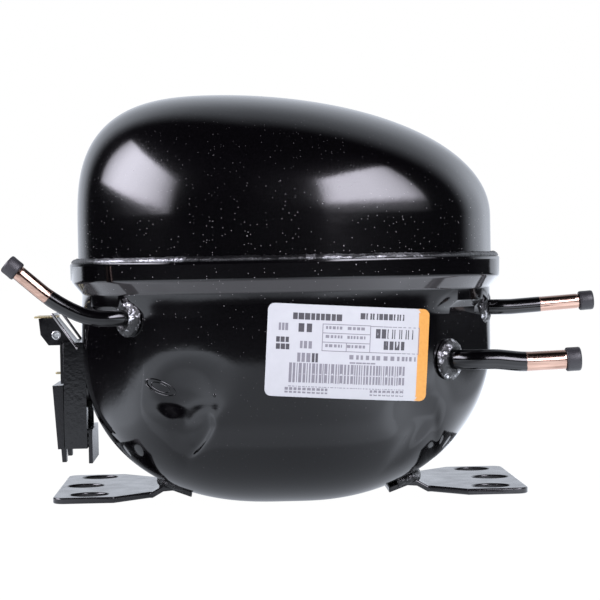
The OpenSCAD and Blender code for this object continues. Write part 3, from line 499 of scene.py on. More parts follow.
PLAN_N = 2.7
FLAT_DIR = math.radians(36.87)
FLAT_REACH, FLAT_SOFT = 86.4, 1.6
SHEET = 2.8
SEAM_Z = 100.0
DOME_L, DOME_W, DOME_SPRING, DOME_PEAK, DOME_BOTTOM = 89.6, 75.6, 118.0, -30.0, 92.0
DOME_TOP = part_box("upper_shell")[1].z / MM
WALL_L, WALL_W, BOWL_SPRING = 88.8, 75.0, 64.0
BELLY_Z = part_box("lower_shell")[0].z / MM
BAND_L, BAND_W = 93.2, 79.2


def fade(h, n):
    """How much of its full reach a shell keeps at a share h of its height."""
    return max(0.0, 1 - h ** n) ** (1 / n)


def reach(a, b, n, t):
    """Radius of a rounded rectangle of half sizes a and b at an angle t."""
    return (np.abs(np.cos(t) / a) ** n + np.abs(np.sin(t) / b) ** n) ** (-1 / n)


def flat_at(t, d):
    """Radius of the two pressed flats at a distance d."""
    s = np.maximum(np.cos(t + FLAT_DIR), np.cos(t - math.pi - FLAT_DIR))
    return np.where(s > 0.3, d / np.maximum(s, 0.3), 999.0)


def soft_min(p, q, k):
    """The smaller of two radii, with the corner between them rounded."""
    return np.minimum(p, q) - k * np.exp(-np.abs(p - q) / k) / 2


def dome_ring(h, inset, t):
    """The dome's outline at a share h of its height, moved in by an inset."""
    left = DOME_PEAK - (DOME_PEAK + DOME_L - inset) * fade(h, 2.8)
    right = DOME_PEAK + (DOME_L - DOME_PEAK - inset) * fade(h, 2.05)
    middle = DOME_PEAK * h * h
    a = np.where(np.cos(t) > 0, right - middle, middle - left)
    r = reach(a, (DOME_W - inset) * fade(h, 2.5), PLAN_N - 0.6 * h, t)
    z = DOME_SPRING + (DOME_TOP - DOME_SPRING - inset) * h
    return np.stack([middle + r * np.cos(t), r * np.sin(t), np.full_like(t, z)], axis=1)


def oval_ring(l, w, z, t):
    r = reach(l, w, PLAN_N, t)
    return np.stack([r * np.cos(t), r * np.sin(t), np.full_like(t, z)], axis=1)


# Pressed marks of the front wall: place, half sizes, lean in degrees, depth, and edge sharpness
SCOOPS = [(-43.0, 45.4, 12.0, 10.5, 0.0, 5.0, 2.4), (-41.0, 28.5, 8.0, 10.0, 12.0, 1.2, 4.0),
          (52.5, 36.5, 11.0, 12.5, 20.0, 6.0, 2.2), (47.0, 22.0, 3.6, 10.0, 42.0, 1.6, 2.4)]
# The left mark's drop-shaped edge: centre, half sizes and step
DROP_X, DROP_Z, DROP_W, DROP_H, DROP_STEP = -41.6, 32.6, 9.8, 12.4, 1.9
# The right mark's upright crease: place, softness, height range, step, and how far it fades out
CREASE_X, CREASE_SOFT, CREASE_LOW, CREASE_HIGH, CREASE_STEP = 61.0, 0.7, 10.0, 42.0, 2.2
CREASE_TAIL, CREASE_END = 9.0, 8.0


def press_at(x, z):
    """How deep the marks press in at a place of the front wall."""
    total = np.zeros_like(x)
    for px, pz, w, h, lean, deep, sharp in SCOOPS:
        c, s = math.cos(math.radians(lean)), math.sin(math.radians(lean))
        u = ((x - px) * c - (z - pz) * s) / w
        v = ((x - px) * s + (z - pz) * c) / h
        v = np.where(v < 0, v * (1 + 0.25 * np.abs(u)), v)
        total += deep * np.exp(-(u * u + v * v) ** (sharp / 2))
    v = (z - DROP_Z) / DROP_H
    u = (x - DROP_X - 0.8 * v) / (DROP_W * (1 - 0.45 * np.clip(-v, 0, 1)))
    from_middle = np.sqrt(u * u + v * v) + 1e-6
    side = np.clip(1.2 * (0.9 * u - 0.45 * v) / from_middle, 0, 1)
    softness = 0.30 - 0.25 * side * side * (3 - 2 * side)
    total += DROP_STEP / (1 + np.exp(np.clip((from_middle - 1) / softness, -30, 30)))
    across = 1 / (1 + np.exp(np.clip((x - CREASE_X) / CREASE_SOFT, -30, 30)))
    behind = np.exp(-np.clip(CREASE_X - x, 0, 99) / CREASE_TAIL)
    level = np.clip((z - CREASE_LOW) / CREASE_END, 0, 1) * np.clip((CREASE_HIGH - z) / CREASE_END, 0, 1)
    return total + CREASE_STEP * across * behind * level


def bowl_ring(h, inset, t):
    """The bowl's outline at a share h of its depth, with the front and back pressed in."""
    z = BOWL_SPRING + (BELLY_Z + inset - BOWL_SPRING) * h
    left = (WALL_L - inset) * fade(h, 2.3)
    right = (WALL_L - inset) * fade(h, 2.1)
    oval = reach(np.where(np.cos(t) > 0, right, left), (WALL_W - inset) * fade(h, 2.7),
                 PLAN_N + 1.2 * h * h, t)
    r = soft_min(oval, flat_at(t, FLAT_REACH - inset), FLAT_SOFT)
    x, y = r * np.cos(t), r * np.sin(t)
    pressed = np.where(np.abs(np.sin(t)) > 0.35, press_at(x, np.full_like(x, z)), 0.0)
    return np.stack([x, y - np.sign(np.sin(t)) * pressed, np.full_like(t, z)], axis=1)


# ---- Shells -------------------------------------------------------------------------------------

AROUND = 480
round_angles = np.arange(AROUND) * 2 * math.pi / AROUND


def build_upper_shell():
    """The dome and its straight wall, as one sheet with an inside."""
    levels = [math.sin(math.radians(89.3) * i / 44) for i in range(45)]
    wall = [DOME_BOTTOM + 0.4, 96.0, 100.0, 104.0, 108.0, 113.0]

    def straight(z, inset):
        ring = dome_ring(0.0, inset, round_angles)
        ring[:, 2] = z
        return ring

    rings = [dome_ring(h, SHEET, round_angles) for h in levels[::-4]]
    rings += [straight(DOME_BOTTOM, SHEET), straight(DOME_BOTTOM, 0.3)]
    rings += [straight(z, 0.0) for z in wall]
    rings += [dome_ring(h, 0.0, round_angles) for h in levels]
    new_piece("upper_shell_pressing", *skin(rings), DOME_PAINT, "upper_shell", smooth=50)


# Outer profile of the flared band: share of the step outwards, and height
BAND_PROFILE = [(0.0, 82.0), (0.0, 86.5), (0.01, 86.8), (0.10, 87.4), (0.84, 91.3), (0.93, 91.9),
                (0.95, 92.3), (0.955, 93.0), (0.995, 98.7), (1.0, 99.3), (0.97, 99.8), (0.87, 100.0)]


def build_lower_shell():
    """The bowl, its wall and the flared band, as one sheet with an inside."""
    def band(share, z):
        length = WALL_L + share * (BAND_L - WALL_L)
        width = WALL_W + share * (BAND_W - WALL_W)
        return oval_ring(length, width, z, round_angles)

    def lifted(inset, z):
        ring = bowl_ring(0.0, inset, round_angles)
        ring[:, 2] = z
        return ring

    levels = [math.sin(math.radians(89.0) * i / 88) for i in range(89)]
    rings = [bowl_ring(h, 0.0, round_angles) for h in levels[::-1]]
    rings += [lifted(0.0, z) for z in (68.0, 72.0, 76.0, 79.0)]
    rings += [band(s, z) for s, z in BAND_PROFILE]
    rings += [oval_ring(BAND_L - 3.1, BAND_W - 3.1, z, round_angles) for z in (100.0, 91.5)]
    rings += [oval_ring(WALL_L - SHEET, WALL_W - SHEET, 91.5, round_angles), lifted(SHEET, 80.0)]
    rings += [bowl_ring(h, SHEET, round_angles) for h in levels[::4]]
    new_piece("lower_shell_pressing", *skin(rings), BOWL_PAINT, "lower_shell", smooth=50)


def build_seam_weld():
    """An uneven rippled bead in the corner between the shells."""
    n = 900
    section = [(0.05, 0.03), (1.5, 0.03), (2.9, 0.03), (3.1, 0.6), (2.7, 1.3), (2.0, 1.8), (1.2, 2.1),
               (0.5, 2.15), (0.05, 1.9)]
    t = np.arange(n) * 2 * math.pi / n
    rings = []
    for i in range(n):
        here = t[i:i + 1]
        ring = []
        for k, (out, up) in enumerate(section):
            r = float(reach(DOME_L + out, DOME_W + out, PLAN_N, here)[0])
            x, y = r * math.cos(t[i]), r * math.sin(t[i])
            coarse = noise.noise(Vector((x, y, 10.0 * k)) * 0.55)
            rough = coarse + 0.6 * noise.noise(Vector((x, y, 3.0 * k)) * 1.6)
            swell = noise.noise(Vector((x, y, 0.0)) * 0.09)
            lift = up * (0.86 + 0.22 * rough + 0.25 * swell) if up > 0.5 else up
            ring.append((x, y, SEAM_Z + 0.02 + min(lift, 2.28)))
        rings.append(ring)
    new_piece("seam_weld_bead", *skin(rings, closed=True), SEAM_WELD, "shell_weld_bead", smooth=60)


def on_wall(x, z, lift):
    """A point over the front wall, pressed marks and all."""
    h = max(0.0, (BOWL_SPRING - z) / (BOWL_SPRING - BELLY_Z))
    n = PLAN_N + 1.2 * h * h
    y = -WALL_W * fade(h, 2.7) * (1 - (abs(x) / (WALL_L * fade(h, 2.1 if x > 0 else 2.3))) ** n) ** (1 / n)
    return np.array([x, y + float(press_at(np.array(x), np.array(z))) - lift, z])


STAMP_X, STAMP_Z, STAMP_HALF_W, STAMP_HALF_H = -53.2, 48.9, 6.6, 2.5
STAMP_LEAN = math.radians(-24)
DOT_X, DOT_Z = -31.0, 45.6


def build_stamp():
    """A blank oval inspection stamp pressed on the front wall, with its inner ring and a round dot."""
    shapes = []
    for share, r in ((1.0, 0.32), (0.62, 0.24)):
        path = []
        for a in np.arange(48) * 2 * math.pi / 48:
            u, v = STAMP_HALF_W * share * math.cos(a), STAMP_HALF_H * share * math.sin(a)
            path.append(on_wall(STAMP_X + u * math.cos(STAMP_LEAN) - v * math.sin(STAMP_LEAN),
                                STAMP_Z + u * math.sin(STAMP_LEAN) + v * math.cos(STAMP_LEAN), 0.05))
        shapes.append(skin(sweep(path, r, 8), closed=True))
    dot = stand(on_wall(DOT_X, DOT_Z, -0.1), (0, -1, -0.2))
    shapes.append(skin(lathe([(0.8, 0.0), (0.8, 0.25), (0.6, 0.4), (0.2, 0.45)], dot, 24)))
    piece = new_piece("wall_stamp", *join_shapes(shapes), BOWL_PAINT, body="shell", smooth=60)


# ---- Tubes, collars and caps --------------------------------------------------------------------

TUBES = {
    "suction": dict(centre=(66.4, -57.2, 57.6), azimuth=-36.87, r=4.0, bare=21.4, ring=8.6,
                    steps=[(5, 16, 36.87, 90), (3, 30, 7, -90), (6, 40, 9, 180), (19.5, 0, 0, 0)]),
    "discharge": dict(centre=(84.2, -27.0, 78.2), azimuth=-16.0, r=3.175, bare=21.8, ring=8.0,
                      steps=[(3, 20, 16, 90), (2, 30, 3.7, 90), (33.5, 0, 0, 0)]),
    "process": dict(centre=(-66.4, -57.2, 77.4), azimuth=216.87, r=3.175, bare=21.2, ring=8.0,
                    steps=[(2, 12, 36.87, -90), (0.5, 26, 24, -90), (0.5, 60, 17, 0), (16.5, 0, 0, 0)]),
}
TUBE_ROOT, TUBE_WALL, PAINT, CAP_LEN = 6.0, 0.8, 0.1, 6.0
TIP_LEN, TIP_CUT = CAP_LEN - 0.7, 0.3


def tube_path(tube):
    """Fine points along a tube, and its tip's direction. A step is length, bend radius, bend and turn."""
    place = np.array(tube["centre"], float)
    a = math.radians(tube["azimuth"])
    heading, side = np.array([math.cos(a), math.sin(a), 0.0]), np.array([0.0, 0.0, -1.0])
    points = [place - TUBE_ROOT * heading]
    for straight, bend_r, bend, turn in tube["steps"]:
        start = place + straight * heading
        points += [place + heading * s for s in np.linspace(0, straight, max(2, int(straight)))[1:]]
        c, s = math.cos(math.radians(turn)), math.sin(math.radians(turn))
        side = c * side + s * np.cross(heading, side)
        parts = max(1, math.ceil(bend / 3))
        for k in range(1, parts + 1 if bend else 1):
            b = math.radians(bend * k / parts)
            points.append(start + bend_r * ((1 - math.cos(b)) * side + math.sin(b) * heading))
        b = math.radians(bend)
        place = start + bend_r * ((1 - math.cos(b)) * side + math.sin(b) * heading)
        heading, side = (math.cos(b) * heading + math.sin(b) * side,
                         math.cos(b) * side - math.sin(b) * heading)
    return np.array(points), heading


def build_tube(name, tube):
    """A painted tube with its bare tip, rubber cap and welded collar."""
    path, tip_dir = tube_path(tube)
    tip = path[-1]
    to_go = np.cumsum(np.linalg.norm(np.diff(path[::-1], axis=0), axis=1))[::-1]
    to_go = np.append(to_go, 0.0)
    edge = tube["bare"]
    painted = []
    for d in to_go:
        paint = PAINT * min(1.0, max(0.0, (d - edge) / 0.6 + 0.5))
        painted.append(tube["r"] + paint - (TIP_CUT if d < TIP_LEN else 0))
    painted[-1] -= 0.25
    outer = sweep(path, painted, 32)
    bore = sweep(path, tube["r"] - TUBE_WALL, 32)
    paint_edge = float(tip.dot(tip_dir)) - edge
    material = make_tube(name + "_tube_finish", tuple(tip_dir), paint_edge * MM)
    new_piece(name + "_line", *skin(outer + bore[::-1], closed=True), material, name + "_tube")

    # Rubber cap: rounded rim, slight waist and a dished end
    r = tube["r"]
    cap = [(r - TIP_CUT + 0.03, 0.3), (r + 0.5, 0.0), (r + 0.85, 0.25), (r + 0.93, 0.9), (r + 0.9, 3.0),
           (r + 0.93, 5.1), (r + 0.75, 5.75), (r + 0.3, 6.0), (r - 1.2, 6.0), (r - 1.8, 5.75), (0.4, 5.7)]
    hollow = [(0.4, 5.05), (r - 0.6, 5.05), (r - TIP_CUT + 0.03, 4.9)]
    place = stand(tip + tip_dir * (1 - CAP_LEN), tip_dir)
    rings = lathe(cap + hollow, place, 40)
    new_piece(name + "_rubber_cap", *closed_lathe(rings, len(cap)), RUBBER, name + "_cap", smooth=50)

    # Collar: a flat ring under a rough weld fillet, with the tube's groove round it
    ring = tube["ring"]
    a = math.radians(tube["azimuth"])
    base = stand(tube["centre"], (math.cos(a), math.sin(a), 0.0))
    profile = [(r + 0.13, -1.1), (ring - 0.1, -1.1), (ring, 0.2), (ring - 0.15, 0.95), (ring - 0.6, 1.45),
               (ring - 1.4, 1.9), (ring - 2.2, 2.55), (ring - 3.0, 2.75), (r + 1.1, 2.2), (r + 0.5, 1.8),
               (r + 0.13, 1.7)]

    def wobble(angle, radius, height):
        if height < 0.5 or radius < r + 0.3:
            return 0.0
        at = Vector((math.cos(angle) * radius, math.sin(angle) * radius, height)) * 0.75
        return 0.28 * noise.noise(at + Vector((tube["azimuth"], 0, 0))) - 0.12

    new_piece(name + "_weld_collar", *skin(lathe(profile, base, 72, wobble), closed=True), COLLAR_WELD,
              name + "_collar", smooth=70)


def closed_lathe(rings, split):
    """A cap: the outer run ends in a fan at its pole, and so does the hollow's run."""
    n, m = len(rings[0]), len(rings)
    points = [tuple(p) for ring in rings for p in ring]
    faces = []
    for j in (*range(split - 1), *range(split, m - 1)):
        faces += quads(j * n, (j + 1) * n, n)
    faces += quads(0, (m - 1) * n, n)
    for base in ((split - 1) * n, split * n):
        points.append(tuple(np.mean(np.array(points[base:base + n]), axis=0)))
        faces += [(base + i, base + (i + 1) % n, len(points) - 1) for i in range(n)]
    return points, faces


# ---- Label --------------------------------------------------------------------------------------

LABEL_X, LABEL_Z, LABEL_W, LABEL_H = 23.2, 62.0, 33.1, 18.8
LABEL_TILT = math.radians(-3.7)
LABEL_BELLY_Z = -5.0
PRINT_LOW, PRINT_HIGH, LINE_W = 0.29, 0.315, 0.32

# Printed bars: left, right, bottom and top on the label, and the ranges of a bar's width and gap
DARK_BARS = [
    (-22.9, -2.8, 12.6, 15.3, (1.5, 2.7), (0.3, 0.5)),
    (4.4, 22.9, 13.7, 16.2, (1.4, 2.4), (0.3, 0.5)),
    (-20.5, -14.8, 7.6, 11.1, (2.0, 2.5), (0.8, 1.2)),
    (-29.3, -23.7, 3.2, 5.4, (1.2, 1.8), (0.25, 0.4)),
    (-29.3, -23.7, 0.3, 2.6, (1.2, 1.8), (0.25, 0.4)),
    (11.0, 27.2, 6.2, 10.0, (1.8, 2.5), (0.4, 0.6)),
    (14.4, 23.0, 1.7, 5.2, (1.6, 2.2), (0.4, 0.6)),
    (-14.6, -11.6, -4.5, -0.8, (1.0, 1.3), (0.3, 0.4)),
]
GREY_BARS = [
    (-28.5, -24.5, 8.0, 11.0, (0.9, 1.6), (0.3, 0.4)),
    (-19.6, -14.8, 1.0, 4.0, (1.0, 1.6), (0.4, 0.6)),
    (-20.5, -15.2, -4.5, -0.8, (1.0, 2.0), (0.4, 0.6)),
    *((u0, u1, v, v + 1.2, (0.7, 1.6), (0.4, 0.6))
      for v in (9.2, 5.6, 1.9) for u0, u1 in ((-9.4, -2.6), (-0.6, 6.8))),
    (0.6, 28.0, -2.7, -0.9, (0.8, 1.8), (0.4, 1.4)),
    (0.8, 11.4, -4.4, -3.8, (1.2, 2.4), (0.2, 0.3)),
    (-23.6, 24.4, -14.6, -4.9, (0.3, 1.3), (0.25, 0.6)),
    (-25.0, -7.4, -17.2, -14.9, (1.0, 1.5), (0.4, 0.6)),
    (9.6, 24.0, -17.2, -14.9, (1.0, 1.5), (0.4, 0.6)),
]


def front_y(x, z):
    """Y of the plain front wall under the label."""
    h = (BOWL_SPRING - z) / (BOWL_SPRING - LABEL_BELLY_Z) if z < BOWL_SPRING else 0.0
    n = PLAN_N + 1.2 * h * h
    return -WALL_W * fade(h, 2.7) * (1 - (abs(x) / (WALL_L * fade(h, 2.1))) ** n) ** (1 / n)


def on_label(u, v, lift):
    """A point of the label from its own place (u, v), at a height over the wall."""
    x = LABEL_X + u * math.cos(LABEL_TILT) - v * math.sin(LABEL_TILT)
    z = LABEL_Z + u * math.sin(LABEL_TILT) + v * math.cos(LABEL_TILT)
    return x, front_y(x, z) - lift, z


def patch(u0, u1, v0, v1, low, high, corner=0.0, columns=None):
    """A closed thin sheet over part of the label, with rounded corners."""
    columns = columns or max(1, round((u1 - u0) / 2))
    if corner:
        bends = [corner * (1 - math.cos(math.radians(a))) for a in (0, 22.5, 45, 67.5, 90)]
        rows = [v0 + b for b in bends] + [v0 + (v1 - v0) * k / 8 for k in range(1, 8)]
        rows = sorted(rows + [v1 - b for b in bends[::-1]])
    else:
        steps = max(1, round((v1 - v0) / 4))
        rows = [v0 + (v1 - v0) * k / steps for k in range(steps + 1)]
    points, faces = [], []
    for lift in (low, high):
        for v in rows:
            near = min(v - v0, v1 - v)
            cut = corner - math.sqrt(max(0.0, corner ** 2 - (corner - near) ** 2)) if near < corner else 0.0
            width = u1 - u0 - 2 * cut
            points += [on_label(u0 + cut + width * i / columns, v, lift) for i in range(columns + 1)]
    w, half = columns + 1, (columns + 1) * len(rows)
    for j in range(len(rows) - 1):
        for i in range(columns):
            a, b = j * w + i, half + j * w + i
            faces += [(a, a + w, a + w + 1, a + 1), (b, b + 1, b + w + 1, b + w)]
        left, right = j * w, j * w + columns
        faces.append((left, left + half, left + w + half, left + w))
        faces.append((right, right + w, right + w + half, right + half))
    for i in range(columns):
        top = (len(rows) - 1) * w + i
        faces += [(i, i + 1, i + 1 + half, i + half), (top, top + half, top + half + 1, top + 1)]
    return points, faces


def bars(u0, u1, v0, v1, widths, gaps):
    """Plain printed bars of random widths, in place of words."""
    made, u = [], u0
    while u < u1:
        w = min(rng.uniform(*widths), u1 - u)
        if w > 0.3:
            made.append(patch(u, u + w, v0, v1, PRINT_LOW, PRINT_HIGH, columns=1))
        u += w + rng.uniform(*gaps)
    return made


def build_label():
    """White stock with an orange edge, and plain bars and a grid where words would be."""
    def tone(centre):
        u = (centre.x - LABEL_X) * math.cos(LABEL_TILT) + (centre.z - LABEL_Z) * math.sin(LABEL_TILT)
        return 1 if u > LABEL_W - 4.4 else 0

    new_piece("rating_label_stock", *patch(-LABEL_W, LABEL_W, -LABEL_H, LABEL_H, 0.06, 0.31, 2.6, 90),
              [PAPER, ORANGE], "rating_label", choose=tone)
    dark = [shape for place in DARK_BARS for shape in bars(*place)]
    grey = [shape for place in GREY_BARS for shape in bars(*place)]
    for v in (0.2, 3.7, 7.4, 11.0):
        grey.append(patch(-10.8, 8.8, v, v + LINE_W, PRINT_LOW, PRINT_HIGH))
    for v in (0.2, 10.8):
        grey.append(patch(8.8, 29.0, v, v + LINE_W, PRINT_LOW, PRINT_HIGH))
    for u, top in ((-10.8, 11.3), (-1.0, 3.9), (8.6, 11.3), (28.8, 11.1)):
        grey.append(patch(u, u + LINE_W, 0.2, top, PRINT_LOW, PRINT_HIGH))
    for tone_name, shapes, ink in (("dark", dark, INK), ("grey", grey, GREY_INK)):
        piece = new_piece("rating_label_" + tone_name + "_print", *join_shapes(shapes), ink, body="shell")


# ---- Electrics, feet and small parts ------------------------------------------------------------

EYELET = (-99.4, -12.9, 69.4)
TAPER_SIDE, TAPER_TOP, TAPER_RUN, TAPER_IN = -99.0, 47.8, 33.0, 2.2


def build_electrics():
    """The starting gear on the left, with its bracket, wire and a pressed eyelet."""
    def taper(p):
        """The protector's box narrows downwards on its outer side."""
        lean = max(0.0, min(1.0, (TAPER_TOP - p.z) / TAPER_RUN)) if p.x < TAPER_SIDE else 0.0
        return p.x + TAPER_IN * lean, p.y, p.z

    dress("start_relay", HOUSING, 0.45, 3)
    dress("overload_protector", HOUSING, 0.45, 3, shape=taper)
    dress("terminal_fence", FENCE_PAINT, 0.25)
    dress("relay_tabs", BRASS, 0.12)
    dress("insulating_plate", SMOOTH_PLASTIC, 0.15)
    dress("earth_screw", BRASS, 0.25)
    dress("bail_clip", WIRE_STEEL)
    profile = [(1.25, 0.0), (2.0, 0.0), (2.0, 0.35), (1.8, 0.5), (1.4, 0.5), (1.25, 0.35)]
    ring = skin(lathe(profile, stand(EYELET, (0, -1, 0)), 32), closed=True)
    eyelet = new_piece("relay_eyelet", *ring, STEEL, body="shell")


# Half length, half width and height of the line where the belly meets the feet
SEAT_L, SEAT_W, SEAT_Z = 54.9, 51.6, 6.2


def build_feet():
    """The stamped feet, and a lumpy weld along each arm's contact with the belly."""
    for node in ("left_foot", "right_foot"):
        dress(node, FOOT_PAINT, 0.55, 3)
    for name, side in (("left", -1), ("right", 1)):
        path = [(side * SEAT_L * (1 - (abs(y) / SEAT_W) ** 3.56) ** 0.281, y, SEAT_Z)
                for y in np.linspace(28, -30, 59)]
        path += [(side * x, -31.6, z)
                 for x, z in zip(np.linspace(51.0, 45.5, 8), np.linspace(SEAT_Z, 4.6, 8))]
        radii = [2.2 + 0.9 * noise.noise(Vector(p) * 0.6) for p in path]
        tube = skin(sweep(path, radii, 14))
        bead = new_piece(name + "_foot_weld", *tube, FOOT_WELD, body="shell", smooth=70)


PLAIN_NODES = [
    (STEEL, "terminal_cup terminal_pins spring_seats stator_bolts thrust_washer crankshaft oil_pickup"),
    (WHITE_PLASTIC, "connector_block lower_snubbers upper_snubbers slot_liners lead_wires"),
    (SPRING_STEEL, "suspension_springs reed_stop suction_reed discharge_reed"),
    (LAMINATION, "stator_core rotor_core"), (GASKET, "cylinder_gasket head_gasket"),
    (GLASS, "terminal_glass_seals"), (WINDING, "main_winding"), (START_WINDING, "start_winding"),
    (BRAZED, "shock_loop"), (CAST_IRON, "counterweight"), (ALUMINIUM, "rotor_cage"),
    (BRASS, "oil_gallery_plug"),
]
BEVELLED_NODES = {
    "cylinder_block": (CAST_IRON, 0.6), "valve_plate": (STEEL, 0.25), "cylinder_head": (ALUMINIUM, 0.6),
    "head_bolts": (STEEL, 0.3), "suction_muffler": (MUFFLER, 0.5), "muffler_lid": (MUFFLER, 0.4),
    "discharge_covers": (STEEL, 0.3), "cover_bolts": (STEEL, 0.3), "slide_block": (STEEL, 0.4),
    "piston_yoke": (CAST_IRON, 0.35),
}


def finish_inside():
    """Materials for the inner nodes, and finished copies of those with machined edges."""
    for material, names in PLAIN_NODES:
        for node in names.split():
            slots = nodes[node].data.materials
            slots.clear()
            slots.append(material)
    for node, (material, width) in BEVELLED_NODES.items():
        dress(node, material, width)


# ---- Stage --------------------------------------------------------------------------------------

# Where the camera stands, its turns and its lens, and the floor just under the feet
EYE = Vector((-22.5, -895.7, 99.0)) * MM
YAW, PITCH, ROLL = math.radians(1.86), math.radians(-1.07), math.radians(1.1)
LENS = 122.2
FLOOR_Z = cad_low.z - 0.4 * MM


def build_camera():
    """A long lens in front, a little to the left, near the seam's height."""
    data = bpy.data.cameras.new("camera")
    data.lens = LENS
    data.sensor_width = 36.0
    data.clip_start, data.clip_end = 0.01, 60.0
    camera = bpy.data.objects.new("camera", data)
    ahead = Vector((math.sin(YAW) * math.cos(PITCH), math.cos(YAW) * math.cos(PITCH), math.sin(PITCH)))
    right = ahead.cross(Vector((0, 0, 1))).normalized()
    up = right.cross(ahead)
    tilted_up = up * math.cos(ROLL) + right * math.sin(ROLL)
    tilted_right = ahead.cross(tilted_up)
    turn = Matrix((tilted_right, tilted_up, -ahead)).transposed().to_4x4()
    camera.matrix_world = Matrix.Translation(EYE) @ turn
    bpy.context.scene.collection.objects.link(camera)
    bpy.context.scene.camera = camera


# Soft boxes: centre, half width and half height as directions from a point over the seam, radiance, the
# tone along the width, and the tone along the height where it changes
SOFT_BOXES = {
    "left_box": ((-0.769, -0.473, 0.430), (-0.164, -0.722, 0.009), (0.003, 0.002, 0.234), 16.5,
                 [(0.0, 0.1), (0.04, 0.35), (0.1, 0.62), (0.17, 0.87), (0.26, 1.0), (0.36, 1.0), (0.48, 0.93),
                  (0.65, 0.72), (0.8, 0.45), (0.92, 0.22), (1.0, 0.05)]),
    "right_box": ((0.338, -0.829, 0.375), (0.139, 0.559, 0.023), (0.026, -0.017, 0.327), 15.5,
                  [(0.0, 0.45), (0.1, 0.85), (0.25, 1.0), (0.65, 0.97), (0.8, 0.82), (0.9, 0.64), (1.0, 0.2)],
                  [(0.0, 0.02), (0.05, 0.06), (0.14, 0.14), (0.24, 1.0)]),
}
BOX_REACH = 2.0
BOX_ORIGIN = Vector((0.0, 0.0, 0.12))
BOX_TINT = (0.90, 0.88, 1.0)


def soft_box(name, centre, half_width, half_height, radiance, tones, rise=((0.0, 1.0), (1.0, 1.0))):
    """An area light over a rectangle, with its tone changing along its width and height."""
    u, v = Vector(half_width), Vector(half_height)
    wide, out = u.normalized(), u.cross(v).normalized()
    if out.dot(Vector(centre)) < 0:
        out = -out
    high = out.cross(wide)
    data = bpy.data.lights.new(name, "AREA")
    data.shape = "RECTANGLE"
    data.size, data.size_y = 2 * BOX_REACH * u.length, 2 * BOX_REACH * v.length
    data.energy = radiance * math.pi * data.size * data.size_y
    data.color = BOX_TINT
    obj = bpy.data.objects.new(name, data)
    turn = Matrix((wide, high, out)).transposed().to_4x4()
    obj.matrix_world = Matrix.Translation(BOX_ORIGIN + BOX_REACH * Vector(centre)) @ turn
    obj.visible_camera = False
    bpy.context.scene.collection.objects.link(obj)
    data.use_nodes = True
    tree = data.node_tree
    emission = tree.nodes["Emission"]
    place = tree.nodes.new("ShaderNodeNewGeometry")
    split = tree.nodes.new("ShaderNodeSeparateXYZ")
    product = tree.nodes.new("ShaderNodeMath")
    product.operation = "MULTIPLY"
    tree.links.new(place.outputs["Parametric"], split.inputs[0])
    for axis, stops in enumerate((tones, rise)):
        ramp = tree.nodes.new("ShaderNodeValToRGB")
        while len(ramp.color_ramp.elements) < len(stops):
            ramp.color_ramp.elements.new(0.5)
        for element, (at, tone) in zip(ramp.color_ramp.elements, stops):
            element.position = at
            element.color = (tone, tone, tone, 1)
        tree.links.new(split.outputs[axis], ramp.inputs[0])
        tree.links.new(ramp.outputs[0], product.inputs[axis])
    tree.links.new(product.outputs[0], emission.inputs["Strength"])


# The slightly cool tint of the paper and the surround
COOL = (0.85, 0.90, 1.0)


class Field:
    """Small arithmetic over one shader tree, for tones that depend on place."""

    def __init__(self, tree, vector):
        self.tree = tree
        split = tree.nodes.new("ShaderNodeSeparateXYZ")
        tree.links.new(vector, split.inputs[0])
        self.x, self.y, self.z = split.outputs

    def math(self, operation, *values):
        n = self.tree.nodes.new("ShaderNodeMath")
        n.operation = operation
        for socket, value in zip(n.inputs, values):
            feed(self.tree, socket, value)
        return n.outputs[0]

    def times(self, a, b):
        return self.math("MULTIPLY", a, b)

    def ease(self, value, start, end, low=0.0, high=1.0):
        n = self.tree.nodes.new("ShaderNodeMapRange")
        n.interpolation_type = "SMOOTHSTEP"
        for key, number in (("From Min", start), ("From Max", end), ("To Min", low), ("To Max", high)):
            n.inputs[key].default_value = number
        self.tree.links.new(value, n.inputs["Value"])
        return n.outputs["Result"]

    def blend(self, share, a, b):
        """From a colour or socket a to a colour b, and past it for a share over 1."""
        n = self.tree.nodes.new("ShaderNodeMix")
        n.data_type = "RGBA"
        n.clamp_factor = False
        for index, value in ((0, share), (6, a), (7, b)):
            feed(self.tree, n.inputs[index], value)
        return n.outputs[2]

    def seen_white(self, tone):
        """Cool light of a tone, and plain white wherever the camera sees it directly."""
        path = self.tree.nodes.new("ShaderNodeLightPath")
        light = self.blend(tone, (0.0, 0.0, 0.0), COOL)
        return self.blend(path.outputs["Is Camera Ray"], light, (1.0, 1.0, 1.0))


def build_lights():
    """Two soft boxes in front, and a surround that is white behind and dark in front."""
    for name, box in SOFT_BOXES.items():
        soft_box(name, *box)
    world = bpy.data.worlds.new("surround")
    bpy.context.scene.world = world
    world.use_nodes = True
    tree = world.node_tree
    # x, y and z here are a direction. The white starts further back on the left
    f = Field(tree, tree.nodes.new("ShaderNodeTexCoord").outputs["Generated"])
    lean = f.math("ADD", f.y, f.times(f.math("MINIMUM", f.x, 0.0), 0.75))
    screen = f.ease(lean, 0.05, 0.47, 0.016, 1.0)
    # Brighter low on the right, dimmer overhead
    right = f.times(f.ease(f.x, 0.3, 0.75), f.ease(f.z, 0.75, 0.35))
    gain = f.math("ADD", 1.0, f.times(right, 1.1))
    gain = f.times(gain, f.ease(f.z, 0.55, 0.95, 1.0, 0.6))
    tree.links.new(f.seen_white(f.times(screen, gain)), tree.nodes["Background"].inputs["Color"])
    bpy.context.scene.view_settings.view_transform = "Standard"


